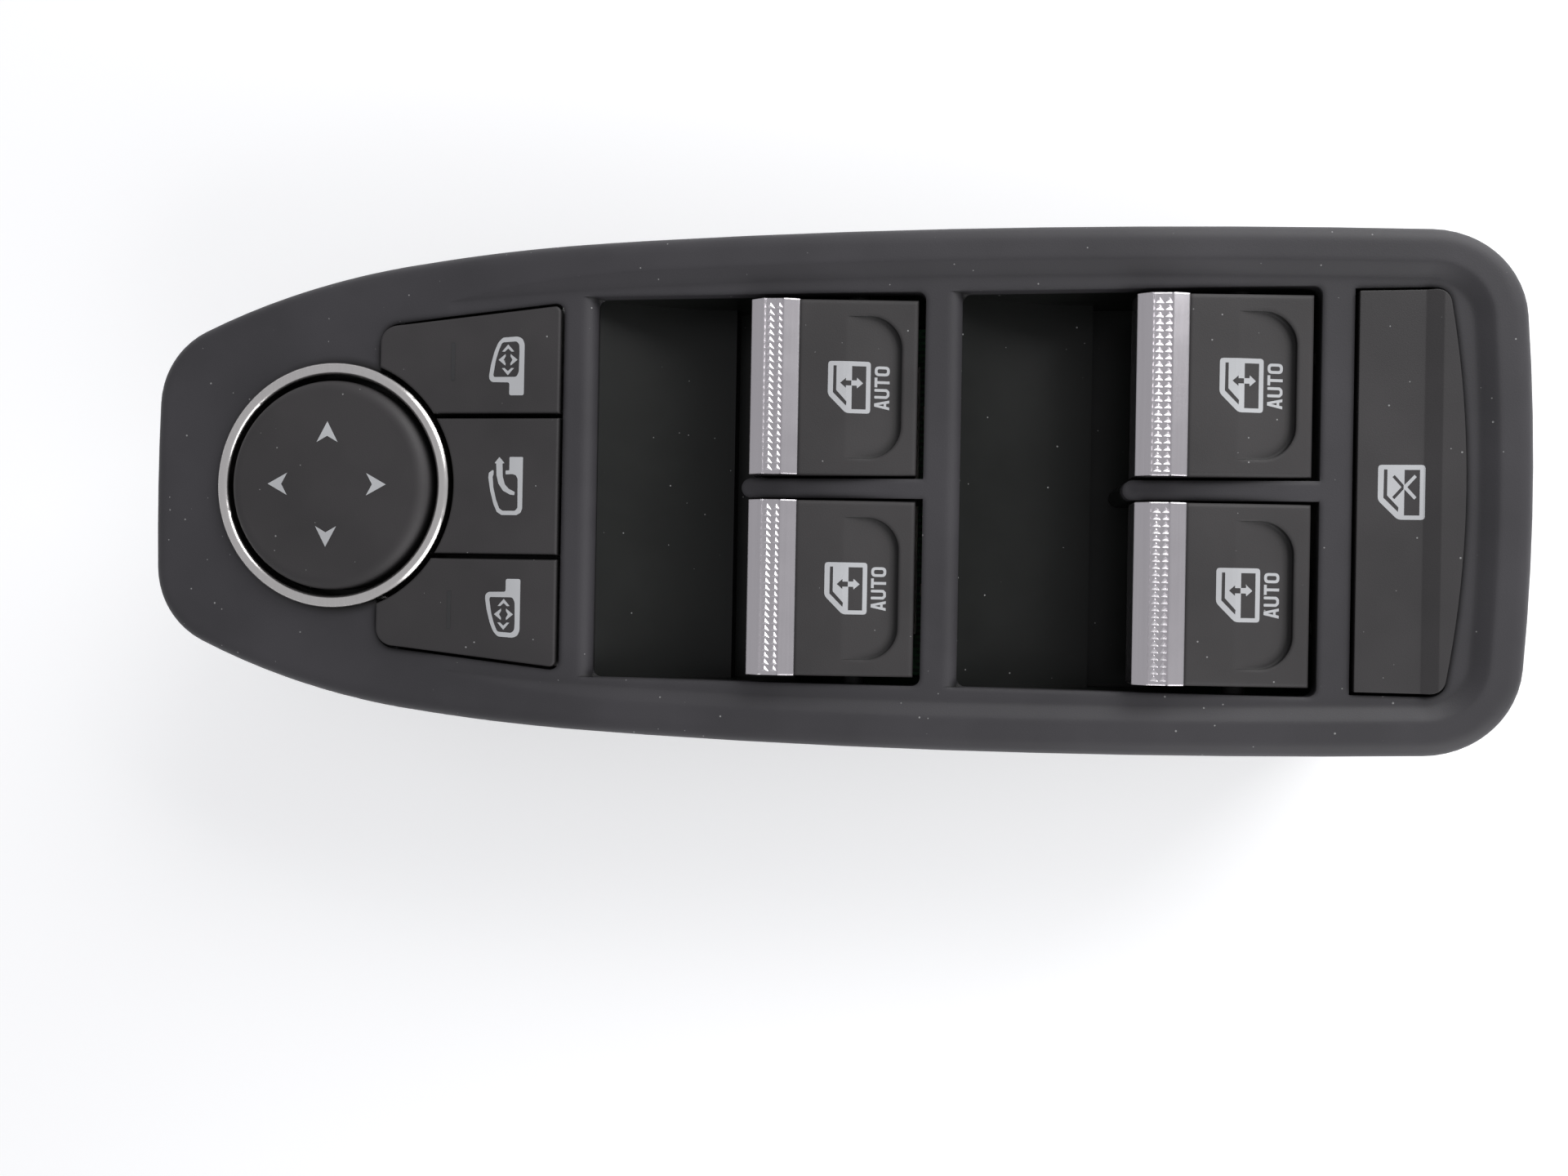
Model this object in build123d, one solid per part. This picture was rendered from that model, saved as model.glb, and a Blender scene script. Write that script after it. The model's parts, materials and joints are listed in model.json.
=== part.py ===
from build123d import *
import math
import os

# Power window switch: a long moulded trim bezel that carries two pairs of
# window rockers, a window lock button, three mirror buttons and a mirror
# adjuster pad, with the switch housing, boards and sockets below it.
# Millimetres. X runs along the bezel towards the lock button, +Y is the upper
# side in the user's view, +Z points at the user. The origin is under the
# middle of the bezel, on the flat underside of the lower cover.

# Right end, window lock opening and housing width, from which the rest is placed
RIGHT_END_X = 96.8
LOCK_OPENING = (74.5, 88.5)
FRAME_HALF_W = 29.6

# Window openings, and the bridges of the bezel between the openings
OPENING_L = 46.8
OPENING_MARGIN = 2.5
OPENING_CORNER_R = 1.2
LOCK_BRIDGE = 4.05
PAIR_BRIDGE = 5.0
MIRROR_BRIDGE = 4.45
OPENING_HALF_W = FRAME_HALF_W - OPENING_MARGIN
PAIRS = [LOCK_OPENING[0] - LOCK_BRIDGE - OPENING_L - PAIR_BRIDGE, LOCK_OPENING[0] - LOCK_BRIDGE]
WINDOWS_X = PAIRS[0] - OPENING_L

# Bezel outline: the left end follows the windows, the flanks follow the housing
MIRROR_END_L = 68.65
LEFT_BOW = 0.5
LEFT_NARROWING = 9.7
LEFT_CORNER_R = 12.5
RIGHT_BOW = 1.9
RIGHT_LAP = 4.3
RIGHT_CORNER_R = 12.5
WIDEST_SHIFT = 3.35
WIDEST_LAP = 6.2
FLANK_BACK = (1.85, 27.85)
FLANK_LAP = (5.1, 3.05)
LEFT_END_X = WINDOWS_X - MIRROR_END_L
LEFT_CORNER = (LEFT_END_X + LEFT_BOW, FRAME_HALF_W - LEFT_NARROWING)
RIGHT_CORNER = (RIGHT_END_X - RIGHT_BOW, FRAME_HALF_W + RIGHT_LAP)
WIDEST = (PAIRS[0] + WIDEST_SHIFT, FRAME_HALF_W + WIDEST_LAP)
FLANK = [(WINDOWS_X - back, FRAME_HALF_W + lap) for back, lap in zip(FLANK_BACK, FLANK_LAP)]

# Bezel heights and walls
FACE_Z = 42.0
SKIRT_Z = 34.5
RIM_H = 1.2
WALL = 2.2
FACE_T = 2.4
RIM_W = 4.7
SLOPE_W = 2.0
EDGE_R = 2.2
CROWN_START = 8.15
CROWN_LEVEL_BACK = 21.85
CROWN_END_BACK = 46.85
CROWN_START_X = WINDOWS_X + CROWN_START
CROWN_LEVEL_X = WINDOWS_X - CROWN_LEVEL_BACK
CROWN_END_X = WINDOWS_X - CROWN_END_BACK

# Ribs and rockers, measured from the right edge of each window opening
SOFT_EDGE_R = 1.9
RIB_L = 25.2
RIB_W = 2.7
ROCKER_L = 22.9
ROCKER_REAR_GAP = 1.0
ROCKER_INNER_GAP = 0.4
ROCKER_OUTER_GAP = 1.2
ROCKER_NOSE_H = 2.7
ROCKER_DEPTH = 8.0
ROCKER_WALL = 1.6
ROCKER_ROOF = 2.1
ROCKER_EDGE_R = 0.45
ROCKER_REAR_H = 2.0
ROCKER_TAPER = 1.6
CAVITY_FRONT = 3.2
CAVITY_REAR = 3.4
PIVOT_BACK = 9.5
PIVOT_DEPTH = 5.0
TRUNNION_R = 1.5
PIN_CLEARANCE = 0.05
TRUNNION_COVER = 0.6
TRUNNION_END_GAP = 0.35
TRUNNION_PLAY = 0.3
ROCKER_ANGLE = 7.0
BAR_L = 6.7
BAR_T = 1.3
BAR_FRONT_DEPTH = 3.4
BAR_NOSE_DROP = 0.9
BAR_BAND_L = 1.9
BAR_KNURL_L = 2.6
BAR_GROOVE = 0.2
BAR_GROOVE_EDGE = 0.15
BAR_FALL = 0.1
BAR_SEAT_DROP = 0.2
DISH_REAR = 2.15
DISH_L = 7.6
DISH_MARGIN = 2.275
DISH_DEPTH = 0.9
DISH_CORNER_R = 4.5
LEVER_T = 1.4
LEVER_W = 6.0
LEVER_TIP_R = 1.0
LEVER_ROOT_HALF = 2.2
LEVER_ROOT_H = 4.5

# Finger wells
WELL_TOP_DEPTH = 3.2
WELL_END_DEPTH = 11.0
WELL_END_BACK = 28.2
WELL_SAG = 1.6
WELL_T = 1.8
WELL_START = 1.0
WELL_SHELF_DEPTH = 14.5
WELL_SHELF_BACK = 19.0
BEAM_LAP_LEFT = 0.3
BEAM_LAP_RIGHT = 0.4
BEAM_LAP_LOCK = 0.1

# Window lock button
LOCK_GAP = 0.45
LOCK_HALF_W = OPENING_HALF_W - LOCK_GAP
LOCK_BULGE = 2.4
LOCK_CORNER_R = 2.0
LOCK_TRAVEL = 1.5
LOCK_H = 0.5
LOCK_RIDGE = 0.7
LOCK_RIDGE_BACK = 3.4
LOCK_RIDGE_L = 2.0
LOCK_STEM_SHIFT = 0.6

# Mirror controls
KNOB_BACK = 39.15
KNOB_X = WINDOWS_X - KNOB_BACK
RING_R = 17.9
RING_W = 1.7
RING_H = 0.9
RING_DEPTH = 3.0
RING_LEDGE_W = 1.0
RING_FIT = 0.05
RING_ROUND_H = 0.5
KNOB_GAP = 0.9
KNOB_TOP_R = 13.4
KNOB_H = 1.9
KNOB_SHOULDER_H = 1.9
KNOB_SKIRT = 4.0
KNOB_WALL = 1.8
KNOB_EDGE = (0.45, 0.65)
KNOB_ANGLE = 3.5
GIMBAL_DEPTH = 9.0
GIMBAL_HUB_R = 6.8
GIMBAL_IN_R = 7.4
GIMBAL_OUT_R = 10.4
GIMBAL_H = 5.0
GIMBAL_PIN_R = 1.0
GIMBAL_PIN_L = 3.2
GIMBAL_POST_GAP = 0.5
GIMBAL_PIN_GAP = 0.4
GIMBAL_POST_HALF = 2.5
GIMBAL_POST_LAP = 1.0
KNOB_LEG_AT = 12.5
KNOB_LEG_R = 1.2
MIRROR_OPENING_L = 28.0
MIRROR_OPENING_X = (WINDOWS_X - MIRROR_BRIDGE - MIRROR_OPENING_L, WINDOWS_X - MIRROR_BRIDGE)
MIRROR_MARGIN = (6.2, 3.3)
MIRROR_OPENING_HALF = (FRAME_HALF_W - MIRROR_MARGIN[0], FRAME_HALF_W - MIRROR_MARGIN[1])
MIRROR_CORNER_R = (3.0, 1.3)
BUTTON_SPLIT_Y = 10.1
BUTTON_GAP = 0.45
BUTTON_SPLIT_GAP = 0.7
BUTTON_H = 0.5
BUTTON_SKIRT = 6.0
BUTTON_FLOOR_GAP = 0.3
BUTTON_WALL = 1.4
BUTTON_TRAVEL = 1.0
BUTTON_STEM_R = 1.8
BUTTON_STEM_BACK = 9.0
BUTTON_EDGE_R = 0.35
BUTTON_RING_GAP = 0.7
GUIDE_GAP = 0.25
PRESS_GAP = 0.15

# Housings
FRAME_ENDS = (3.75, 2.1)
FRAME_X = (WINDOWS_X - FRAME_ENDS[0], LOCK_OPENING[1] + FRAME_ENDS[1])
FRAME_WALL = 2.2
FRAME_CORNER_R = 2.5
COVER_H = 16.0
COVER_T = 2.0
COVER_WALL = 2.0
BOARD_T = 1.6
BOARD_GAP = 0.2
MIRROR_BODY_LAP = 1.6
MIRROR_BODY_END_GAP = 2.3
MIRROR_BODY_INSET = 2.6
MIRROR_BODY_R = RING_R + MIRROR_BODY_LAP
MIRROR_BODY_X = MIRROR_OPENING_X[1] - MIRROR_BODY_END_GAP
MIRROR_BODY_HALF_W = FRAME_HALF_W - MIRROR_BODY_INSET
MIRROR_BODY_BACK = 7.6
MIRROR_BODY_TOP_DEPTH = 6.0
MIRROR_SHELF_T = 2.5
MIRROR_BODY_WALL = 1.6
MIRROR_FLOOR_Z = 24.0
MIRROR_COVER_T = 1.6
MIRROR_HOLE_R = 14.3

# Switches and contact parts
TACT_SIZE = 6.0
TACT_H = 3.5
TACT_BUTTON_R = 1.6
TACT_BUTTON_H = 1.2
SLIDER = (8.0, 9.0, 4.4)
SLIDER_LIFT = 0.3
SLIDER_FLOOR = 1.0
SLOT_GAP = 0.15
SLIDER_PLAY = 0.3
GUIDE_WALL = 2.0
GUIDE_H = 3.6
LOCK_SWITCH = (12.0, 12.0, 8.0)
LOCK_PLUNGER_R = 2.0
LOCK_PLUNGER_H = 2.0
CHIP = (12.0, 12.0, 1.6)
LED = (3.2, 2.0, 1.4)
LED_BACK = 0.4

# Sockets
SOCKET_HALF_W = 12.0
SOCKET_Z = (2.0, 11.6)
SOCKET_WALL = 1.2
SOCKET_L = 13.0
SOCKET_BACK_T = 1.4
SOCKET_FLANGE = 1.5
SOCKET_FIT = 0.05
PIN_T = 0.64
PIN_PITCH = 2.5
PIN_SETBACK = 4.6
PINS_PER_ROW = 8
PIN_TURNS = (4.0, 1.6)
PIN_FIT = 0.03
MIRROR_SOCKET_HALF = (8.0, 4.5)
MIRROR_SOCKET_Z = 12.0
MIRROR_PINS = 5

# Fasteners
SCREW_R = 0.95
SCREW_HEAD_R = 1.9
SCREW_HEAD_H = 1.5
SCREW_HEAD_GAP = 0.25
SCREW_L = 7.5
PILOT_GAP = 0.05
PILOT_SPARE = 0.4
RECESS_HALF_W = 0.2
RECESS_DEPTH = 0.7
RECESS_SHARE = 0.6
EAR_HOLE_GAP = 0.3
BOSS_R = 2.2
EAR_R = 2.2
EAR_T = 2.5
BEZEL_EAR_DEPTH = 9.0
BEZEL_EAR_OUT = 0.9
BEZEL_EAR_Y = FRAME_HALF_W + BEZEL_EAR_OUT
BEZEL_EAR_INSET = 1.5
MIRROR_EAR_DEPTH = 9.5
MIRROR_EAR_Y = MIRROR_BODY_HALF_W + EAR_R
MIRROR_EAR_OUT = 3.5
MIRROR_EAR_FRONT = 23.3
MIRROR_EARS = [
    (KNOB_X - MIRROR_BODY_R - MIRROR_EAR_OUT, 0.0),
    (KNOB_X + MIRROR_EAR_FRONT, MIRROR_EAR_Y),
    (KNOB_X + MIRROR_EAR_FRONT, -MIRROR_EAR_Y),
]
COVER_SCREW_INSET = 11.6
COVER_SCREW_Y = FRAME_HALF_W - COVER_SCREW_INSET
COVER_POST_R = 3.4
COVER_BORE_R = 2.3
COVER_BORE_DEPTH = 11.0
COVER_SCREW_L = 11.0

# Spring clips on the housing's flanks
CLIP_BACK = (30.65, 30.45)
CLIP_X = (PAIRS[0] - CLIP_BACK[0], PAIRS[1] - CLIP_BACK[1])
CLIP_W = 8.0
CLIP_T = 0.6
CLIP_Z = (19.0, 31.0)
CLIP_REACH = 3.0
CLIP_KNEE = 0.45
CLIP_FOOT = 1.2
CLIP_OPEN = (1.6, 2.4)
CLIP_THIN = 0.1

# Working values: how far cuts run past a face and joined bodies run into each
# other, the slack in picking edges by height, and the smallest corner
CUT = 1.0
ROOT = 0.5
LOOSE = 0.1
LEAST_R = 0.3

# Places worked out from the sizes above
BEAMS = [PAIRS[0] + PAIR_BRIDGE / 2, PAIRS[1] + LOCK_BRIDGE / 2]
ROCKER_INNER_Y = RIB_W / 2 + ROCKER_INNER_GAP
ROCKER_OUTER_Y = OPENING_HALF_W - ROCKER_OUTER_GAP
ROCKER_Y = (ROCKER_INNER_Y + ROCKER_OUTER_Y) / 2
ROCKER_W = ROCKER_OUTER_Y - ROCKER_INNER_Y
PIVOT_Z = FACE_Z - PIVOT_DEPTH
FRAME_TOP_Z = FACE_Z - FACE_T
BOARD_TOP_Z = COVER_H + BOARD_T
SLIDER_Z = BOARD_TOP_Z + SLIDER_LIFT
LEVER_TIP_Z = SLIDER_Z + SLIDER_FLOOR + SLIDER_LIFT + LEVER_TIP_R
KNOB_R = RING_R - RING_W - KNOB_GAP
GIMBAL_Z = FACE_Z - GIMBAL_DEPTH
DISH_HALF_W = ROCKER_W / 2 - DISH_MARGIN
WELL_SHELF_Z = FACE_Z - WELL_SHELF_DEPTH
MIRROR_BOARD_TOP_Z = MIRROR_FLOOR_Z + BOARD_T
TACT_TOP_Z = MIRROR_BOARD_TOP_Z + TACT_H + TACT_BUTTON_H
BEZEL_EARS = [(FRAME_X[0] + BEZEL_EAR_INSET, BEZEL_EAR_Y), (BEAMS[0], BEZEL_EAR_Y), (BEAMS[1], BEZEL_EAR_Y)]


def block(x0, x1, y0, y1, z0, z1):
    """A box between two corners."""
    centre = Pos((x0 + x1) / 2, (y0 + y1) / 2, (z0 + z1) / 2)
    return centre * Box(x1 - x0, y1 - y0, z1 - z0)


def rod_z(x, y, radius, z0, z1):
    """An upright cylinder."""
    return Pos(x, y, (z0 + z1) / 2) * Cylinder(radius, z1 - z0)


def rod_y(x, z, radius, y0, y1):
    """A cylinder along Y."""
    return Pos(x, (y0 + y1) / 2, z) * Rot(90, 0, 0) * Cylinder(radius, y1 - y0)


def rod_x(y, z, radius, x0, x1):
    """A cylinder along X."""
    return Pos((x0 + x1) / 2, y, z) * Rot(0, 90, 0) * Cylinder(radius, x1 - x0)


def side_prism(outline, y0, y1):
    """A closed outline drawn in X and Z, carried from y0 to y1."""
    return Pos(0, y1, 0) * extrude(Plane.XZ * make_face(outline), amount=y1 - y0)


def plan_prism(face, z0, z1):
    """A face drawn in X and Y, carried from z0 to z1."""
    return Pos(0, 0, z0) * extrude(face, amount=z1 - z0)


def rounded_plan(x0, x1, half_w, radius):
    """A rounded rectangle, even about the long axis."""
    return Pos((x0 + x1) / 2, 0) * RectangleRounded(x1 - x0, 2 * half_w, radius)


def mirror_y(solid):
    """The same solid on the other side of the long axis."""
    return mirror(solid, about=Plane.XZ)


def bezel_plan():
    """The bezel's outline: tangent arcs along each flank, with bowed ends."""
    left = ThreePointArc(LEFT_CORNER, (LEFT_END_X, 0), (LEFT_CORNER[0], -LEFT_CORNER[1]))
    right = ThreePointArc(RIGHT_CORNER, (RIGHT_END_X, 0), (RIGHT_CORNER[0], -RIGHT_CORNER[1]))
    plan = make_face(flank_arcs(1) + flank_arcs(-1) + [left, right])
    left_points = plan.vertices().sort_by(Axis.X)[:2]
    plan = fillet(left_points, LEFT_CORNER_R)
    right_points = plan.vertices().sort_by(Axis.X)[-2:]
    return fillet(right_points, RIGHT_CORNER_R)


def inset_plan(amount):
    """The bezel's outline, drawn in by amount, as true arcs."""
    ring = offset(bezel_plan(), amount=-amount)
    return make_face([ThreePointArc(e @ 0, e @ 0.5, e @ 1) for e in ring.edges()])


def flank_arcs(side):
    """The tangent arcs of one flank, from its widest point to both corners."""
    start = (WIDEST[0], side * WIDEST[1])
    arcs = [TangentArc(start, (RIGHT_CORNER[0], side * RIGHT_CORNER[1]), tangent=(1, 0))]
    heading = (-1, 0)
    for x, y in FLANK + [LEFT_CORNER]:
        arcs.append(TangentArc(start, (x, side * y), tangent=heading))
        start = (x, side * y)
        heading = arcs[-1] % 1
    return arcs


def crown_prism(drop):
    """Everything below the bezel's crown line, lowered by drop: level along
    the windows, then falling to a lower shelf around the mirror pad."""
    reach = WIDEST[1] + CUT
    high = FACE_Z + RIM_H - drop
    level = FACE_Z - drop
    left = LEFT_END_X - CUT
    right = RIGHT_END_X + CUT
    fall = JernArc((CROWN_START_X, high), (-1, 0), *crown_arc(CROWN_START_X - CROWN_LEVEL_X, RIM_H))
    start = fall @ 1
    settle = TangentArc(start, (CROWN_END_X, level - shelf_drop()), tangent=fall % 1)
    low = (left, (settle @ 1).Y)
    line = [
        Line(low, settle @ 1),
        settle,
        fall,
        Line((CROWN_START_X, high), (right, high)),
        Line((right, high), (right, 0)),
        Line((right, 0), (left, 0)),
        Line((left, 0), low),
    ]
    return side_prism(line, -reach, reach)


def crown_arc(run, fall):
    """Radius and turn, in degrees, of the arc that falls by fall over run."""
    radius = (run * run + fall * fall) / (2 * fall)
    return radius, math.degrees(math.asin(run / radius))


def shelf_drop():
    """How far the crown settles below the face around the mirror pad."""
    turn = crown_arc(CROWN_START_X - CROWN_LEVEL_X, RIM_H)[1]
    return (CROWN_LEVEL_X - CROWN_END_X) * math.tan(math.radians(turn / 2))


def mirror_opening():
    """The outline of the opening for the three mirror buttons."""
    x0, x1 = MIRROR_OPENING_X
    h0, h1 = MIRROR_OPENING_HALF
    plan = make_face(Polyline((x0, -h0), (x1, -h1), (x1, h1), (x0, h0), close=True))
    plan = fillet(plan.vertices().sort_by(Axis.X)[:2], MIRROR_CORNER_R[0])
    return fillet(plan.vertices().sort_by(Axis.X)[-2:], MIRROR_CORNER_R[1])


def lock_plan(inset):
    """The lock button's outline, or its opening at inset 0, with a bowed right edge."""
    x0 = LOCK_OPENING[0] + inset
    x1 = LOCK_OPENING[1] - inset
    half = LOCK_HALF_W - inset
    edge = x1 - LOCK_BULGE
    left = Polyline((edge, -half), (x0, -half), (x0, half), (edge, half))
    plan = make_face([left, ThreePointArc((edge, half), (x1, 0), (edge, -half))])
    return fillet(plan.vertices().sort_by(Axis.X)[-2:], LOCK_CORNER_R)


def soft_edge(x):
    """What is cut away to round the left edge of a window opening."""
    low = FACE_Z - SOFT_EDGE_R
    half = OPENING_HALF_W
    corner = block(x - SOFT_EDGE_R, x + CUT, -half, half, low, FACE_Z + CUT)
    kept = rod_y(x - SOFT_EDGE_R, low, SOFT_EDGE_R, -half, half)
    return corner - kept


def trim_bezel():
    """The moulded bezel: crowned shell, recessed face, openings, ribs and screw bosses."""
    plan = bezel_plan()
    above = FACE_Z + RIM_H + CUT
    body = plan_prism(plan, SKIRT_Z, above) & crown_prism(0)
    rim = [e for e in body.edges() if e.bounding_box().min.Z > SKIRT_Z + CUT and not across(e)]
    body = fillet(rim, EDGE_R)
    crease = inset_plan(RIM_W)
    floor = inset_plan(RIM_W + SLOPE_W)
    body -= loft([Pos(0, 0, FACE_Z) * floor, Pos(0, 0, FACE_Z + RIM_H) * crease], ruled=True)
    inside = plan_prism(inset_plan(WALL), SKIRT_Z - CUT, above)
    body -= inside & crown_prism(RIM_H + FACE_T)
    for x, y in BEZEL_EARS:
        body += rod_z(x, y, BOSS_R, FACE_Z - BEZEL_EAR_DEPTH, FACE_Z - FACE_T / 2)
        body += rod_z(x, -y, BOSS_R, FACE_Z - BEZEL_EAR_DEPTH, FACE_Z - FACE_T / 2)
    for x, y in MIRROR_EARS:
        body += rod_z(x, y, BOSS_R, FACE_Z - MIRROR_EAR_DEPTH, FACE_Z - FACE_T)
    body -= bezel_openings()
    for x in PAIRS:
        body += rib(x, FRAME_TOP_Z, FACE_Z)
    return body - screw_pilots()


def across(edge):
    """True for a straight edge that runs across the bezel."""
    return edge.geom_type == GeomType.LINE and abs((edge % 0.5).Y) > 0.99


def bezel_openings():
    """Everything that goes through the bezel's face."""
    low = SKIRT_Z + ROOT
    high = FACE_Z + RIM_H + CUT
    cut = plan_prism(mirror_opening(), low, high) + plan_prism(lock_plan(0), low, high)
    cut += rod_z(KNOB_X, 0, RING_R + RING_FIT, FACE_Z - RING_DEPTH, high)
    cut += rod_z(KNOB_X, 0, RING_R - RING_LEDGE_W, low, high)
    for x in PAIRS:
        opening = rounded_plan(x - OPENING_L, x, OPENING_HALF_W, OPENING_CORNER_R)
        cut += plan_prism(opening, low, high)
        cut += soft_edge(x - OPENING_L)
    return cut


def rib(x, z0, z1):
    """The bar between the two rockers of a pair, round at its free end."""
    half = RIB_W / 2
    bar = block(x - RIB_L + half, x + ROOT, -half, half, z0, z1)
    return bar + rod_z(x - RIB_L + half, 0, half, z0, z1)


def screw_pilots():
    """The blind holes for the screws in the bezel's bosses."""
    depth = SCREW_L - EAR_T + PILOT_SPARE
    radius = SCREW_R + PILOT_GAP
    base = FACE_Z - BEZEL_EAR_DEPTH
    places = [(x, side * y) for x, y in BEZEL_EARS for side in (1, -1)]
    holes = [rod_z(x, y, radius, base - CUT, base + depth) for x, y in places]
    base = FACE_Z - MIRROR_EAR_DEPTH
    return holes + [rod_z(x, y, radius, base - CUT, base + depth) for x, y in MIRROR_EARS]


def rocker_top(back):
    """Height of the rocker's top at a distance back from the opening's right edge."""
    rear = ROCKER_REAR_GAP
    return FACE_Z + ROCKER_NOSE_H * (back - rear) / ROCKER_L


def window_rocker(x, side):
    """A rocker cap with its finger dish, trunnions and lever."""
    rear = x - ROCKER_REAR_GAP
    nose = rear - ROCKER_L + BAR_T
    seam = rear - ROCKER_L + BAR_L
    low = FACE_Z - ROCKER_DEPTH
    top_seam = rocker_top(x - seam)
    profile = Polyline(
        (rear, FACE_Z),
        (rear, FACE_Z - ROCKER_REAR_H),
        (rear - ROCKER_TAPER, low),
        (nose + ROCKER_TAPER, low),
        (nose, FACE_Z - BAR_FRONT_DEPTH),
        (nose, FACE_Z + ROCKER_NOSE_H - BAR_NOSE_DROP - BAR_T),
        (nose + BAR_BAND_L - BAR_T, FACE_Z + ROCKER_NOSE_H - BAR_T - BAR_SEAT_DROP),
        (seam, top_seam - BAR_T),
        (seam, top_seam),
        close=True,
    )
    cap = side_prism(profile, -ROCKER_W / 2, ROCKER_W / 2)
    upper = [e for e in cap.edges() if e.bounding_box().min.Z > FACE_Z - LOOSE]
    cap = fillet([e for e in upper if e.center().X > seam + ROCKER_EDGE_R], ROCKER_EDGE_R)
    cap -= rocker_dish(x)
    cap -= rocker_cavity(nose, rear)
    cap += rocker_lever(x - PIVOT_BACK)
    for end in (-1, 1):
        reach = outer_reach() if end == side else inner_reach()
        y0, y1 = sorted((end * (ROCKER_W / 2 - ROOT), end * (ROCKER_W / 2 + reach)))
        cap += rod_y(x - PIVOT_BACK, PIVOT_Z, TRUNNION_R, y0, y1)
    return Pos(0, side * ROCKER_Y, 0) * cap


def outer_reach():
    """How far the outer trunnion stands out, into the housing's flank."""
    return FRAME_HALF_W - TRUNNION_COVER - ROCKER_OUTER_Y


def inner_reach():
    """How far the inner trunnion stands out, into the rib wall."""
    return ROCKER_INNER_Y - TRUNNION_END_GAP


def rocker_dish(x):
    """The shallow finger dish: deepest at its rear wall, running out forwards."""
    rear = x - ROCKER_REAR_GAP - DISH_REAR
    front = rear - DISH_L
    top = rocker_top(x - rear)
    high = FACE_Z + ROCKER_NOSE_H + CUT
    wedge = Polyline(
        (front, rocker_top(x - front)),
        (rear, top - DISH_DEPTH),
        (rear, high),
        (front, high),
        close=True,
    )
    tool = side_prism(wedge, -DISH_HALF_W, DISH_HALF_W)
    plan = rounded_plan(front - 2 * DISH_CORNER_R, rear, DISH_HALF_W, DISH_CORNER_R)
    return tool & plan_prism(plan, FACE_Z - DISH_DEPTH - CUT, high + CUT)


def rocker_cavity(nose, rear):
    """The hollow underside of a rocker cap."""
    half = ROCKER_W / 2 - ROCKER_WALL
    low = FACE_Z - ROCKER_DEPTH - CUT
    return block(nose + CAVITY_FRONT, rear - CAVITY_REAR, -half, half, low, FACE_Z - ROCKER_ROOF)


def rocker_lever(x):
    """The lever that reaches down from the cap to its contact slider."""
    half = LEVER_W / 2
    high = FACE_Z - ROCKER_ROOF + ROOT
    blade = block(x - LEVER_T / 2, x + LEVER_T / 2, -half, half, LEVER_TIP_Z, high)
    wide = LEVER_ROOT_HALF
    root = block(x - wide, x + wide, -half, half, PIVOT_Z - LEVER_ROOT_H, high)
    return blade + root + rod_y(x, LEVER_TIP_Z, LEVER_TIP_R, -half, half)


def rocker_grip_bar(x, side):
    """The bright bar over the rocker's nose: front band, grooved middle, rear band."""
    rear = x - ROCKER_REAR_GAP
    front = rear - ROCKER_L
    seam = front + BAR_L
    top = FACE_Z + ROCKER_NOSE_H
    knurl_0 = front + BAR_BAND_L
    knurl_1 = knurl_0 + BAR_KNURL_L
    seam_top = rocker_top(x - seam)
    profile = Polyline(
        (front, FACE_Z - BAR_FRONT_DEPTH),
        (front, top - BAR_NOSE_DROP),
        (knurl_0, top),
        (knurl_0 + BAR_GROOVE_EDGE, top - BAR_GROOVE),
        (knurl_1 - BAR_GROOVE_EDGE, top - BAR_GROOVE - BAR_FALL),
        (knurl_1, top - BAR_FALL),
        (seam, seam_top),
        (seam, seam_top - BAR_T),
        (knurl_0, top - BAR_T - BAR_SEAT_DROP),
        (front + BAR_T, top - BAR_NOSE_DROP - BAR_T),
        (front + BAR_T, FACE_Z - BAR_FRONT_DEPTH),
        close=True,
    )
    bar = side_prism(profile, -ROCKER_W / 2, ROCKER_W / 2)
    return Pos(0, side * ROCKER_Y, 0) * bar


def contact_slider(x, side):
    """The sliding contact block that a rocker's lever moves."""
    long_x, wide_y, high = SLIDER
    half = LEVER_TIP_R + SLOT_GAP
    y = side * ROCKER_Y
    body = block(x - long_x / 2, x + long_x / 2, y - wide_y / 2, y + wide_y / 2, SLIDER_Z, SLIDER_Z + high)
    slot_y = LEVER_W / 2 + SLIDER_PLAY
    top = SLIDER_Z + high + CUT
    return body - block(x - half, x + half, y - slot_y, y + slot_y, SLIDER_Z + SLIDER_FLOOR, top)


def slider_travel():
    """How far a slider moves from its middle to one end."""
    return (PIVOT_Z - LEVER_TIP_Z) * math.radians(ROCKER_ANGLE)


def slider_guide(x):
    """The guide block on the board that holds a pair's two sliders."""
    half_x = SLIDER[0] / 2 + slider_travel() + SLIDER_PLAY
    half_y = SLIDER[1] / 2 + SLIDER_PLAY
    outer = ROCKER_Y + half_y + GUIDE_WALL
    end = half_x + GUIDE_WALL
    body = block(x - end, x + end, -outer, outer, BOARD_TOP_Z, BOARD_TOP_Z + GUIDE_H)
    for side in (1, -1):
        y0 = side * ROCKER_Y - half_y
        y1 = side * ROCKER_Y + half_y
        body -= block(x - half_x, x + half_x, y0, y1, BOARD_TOP_Z - CUT, BOARD_TOP_Z + GUIDE_H + CUT)
    return body


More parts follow.
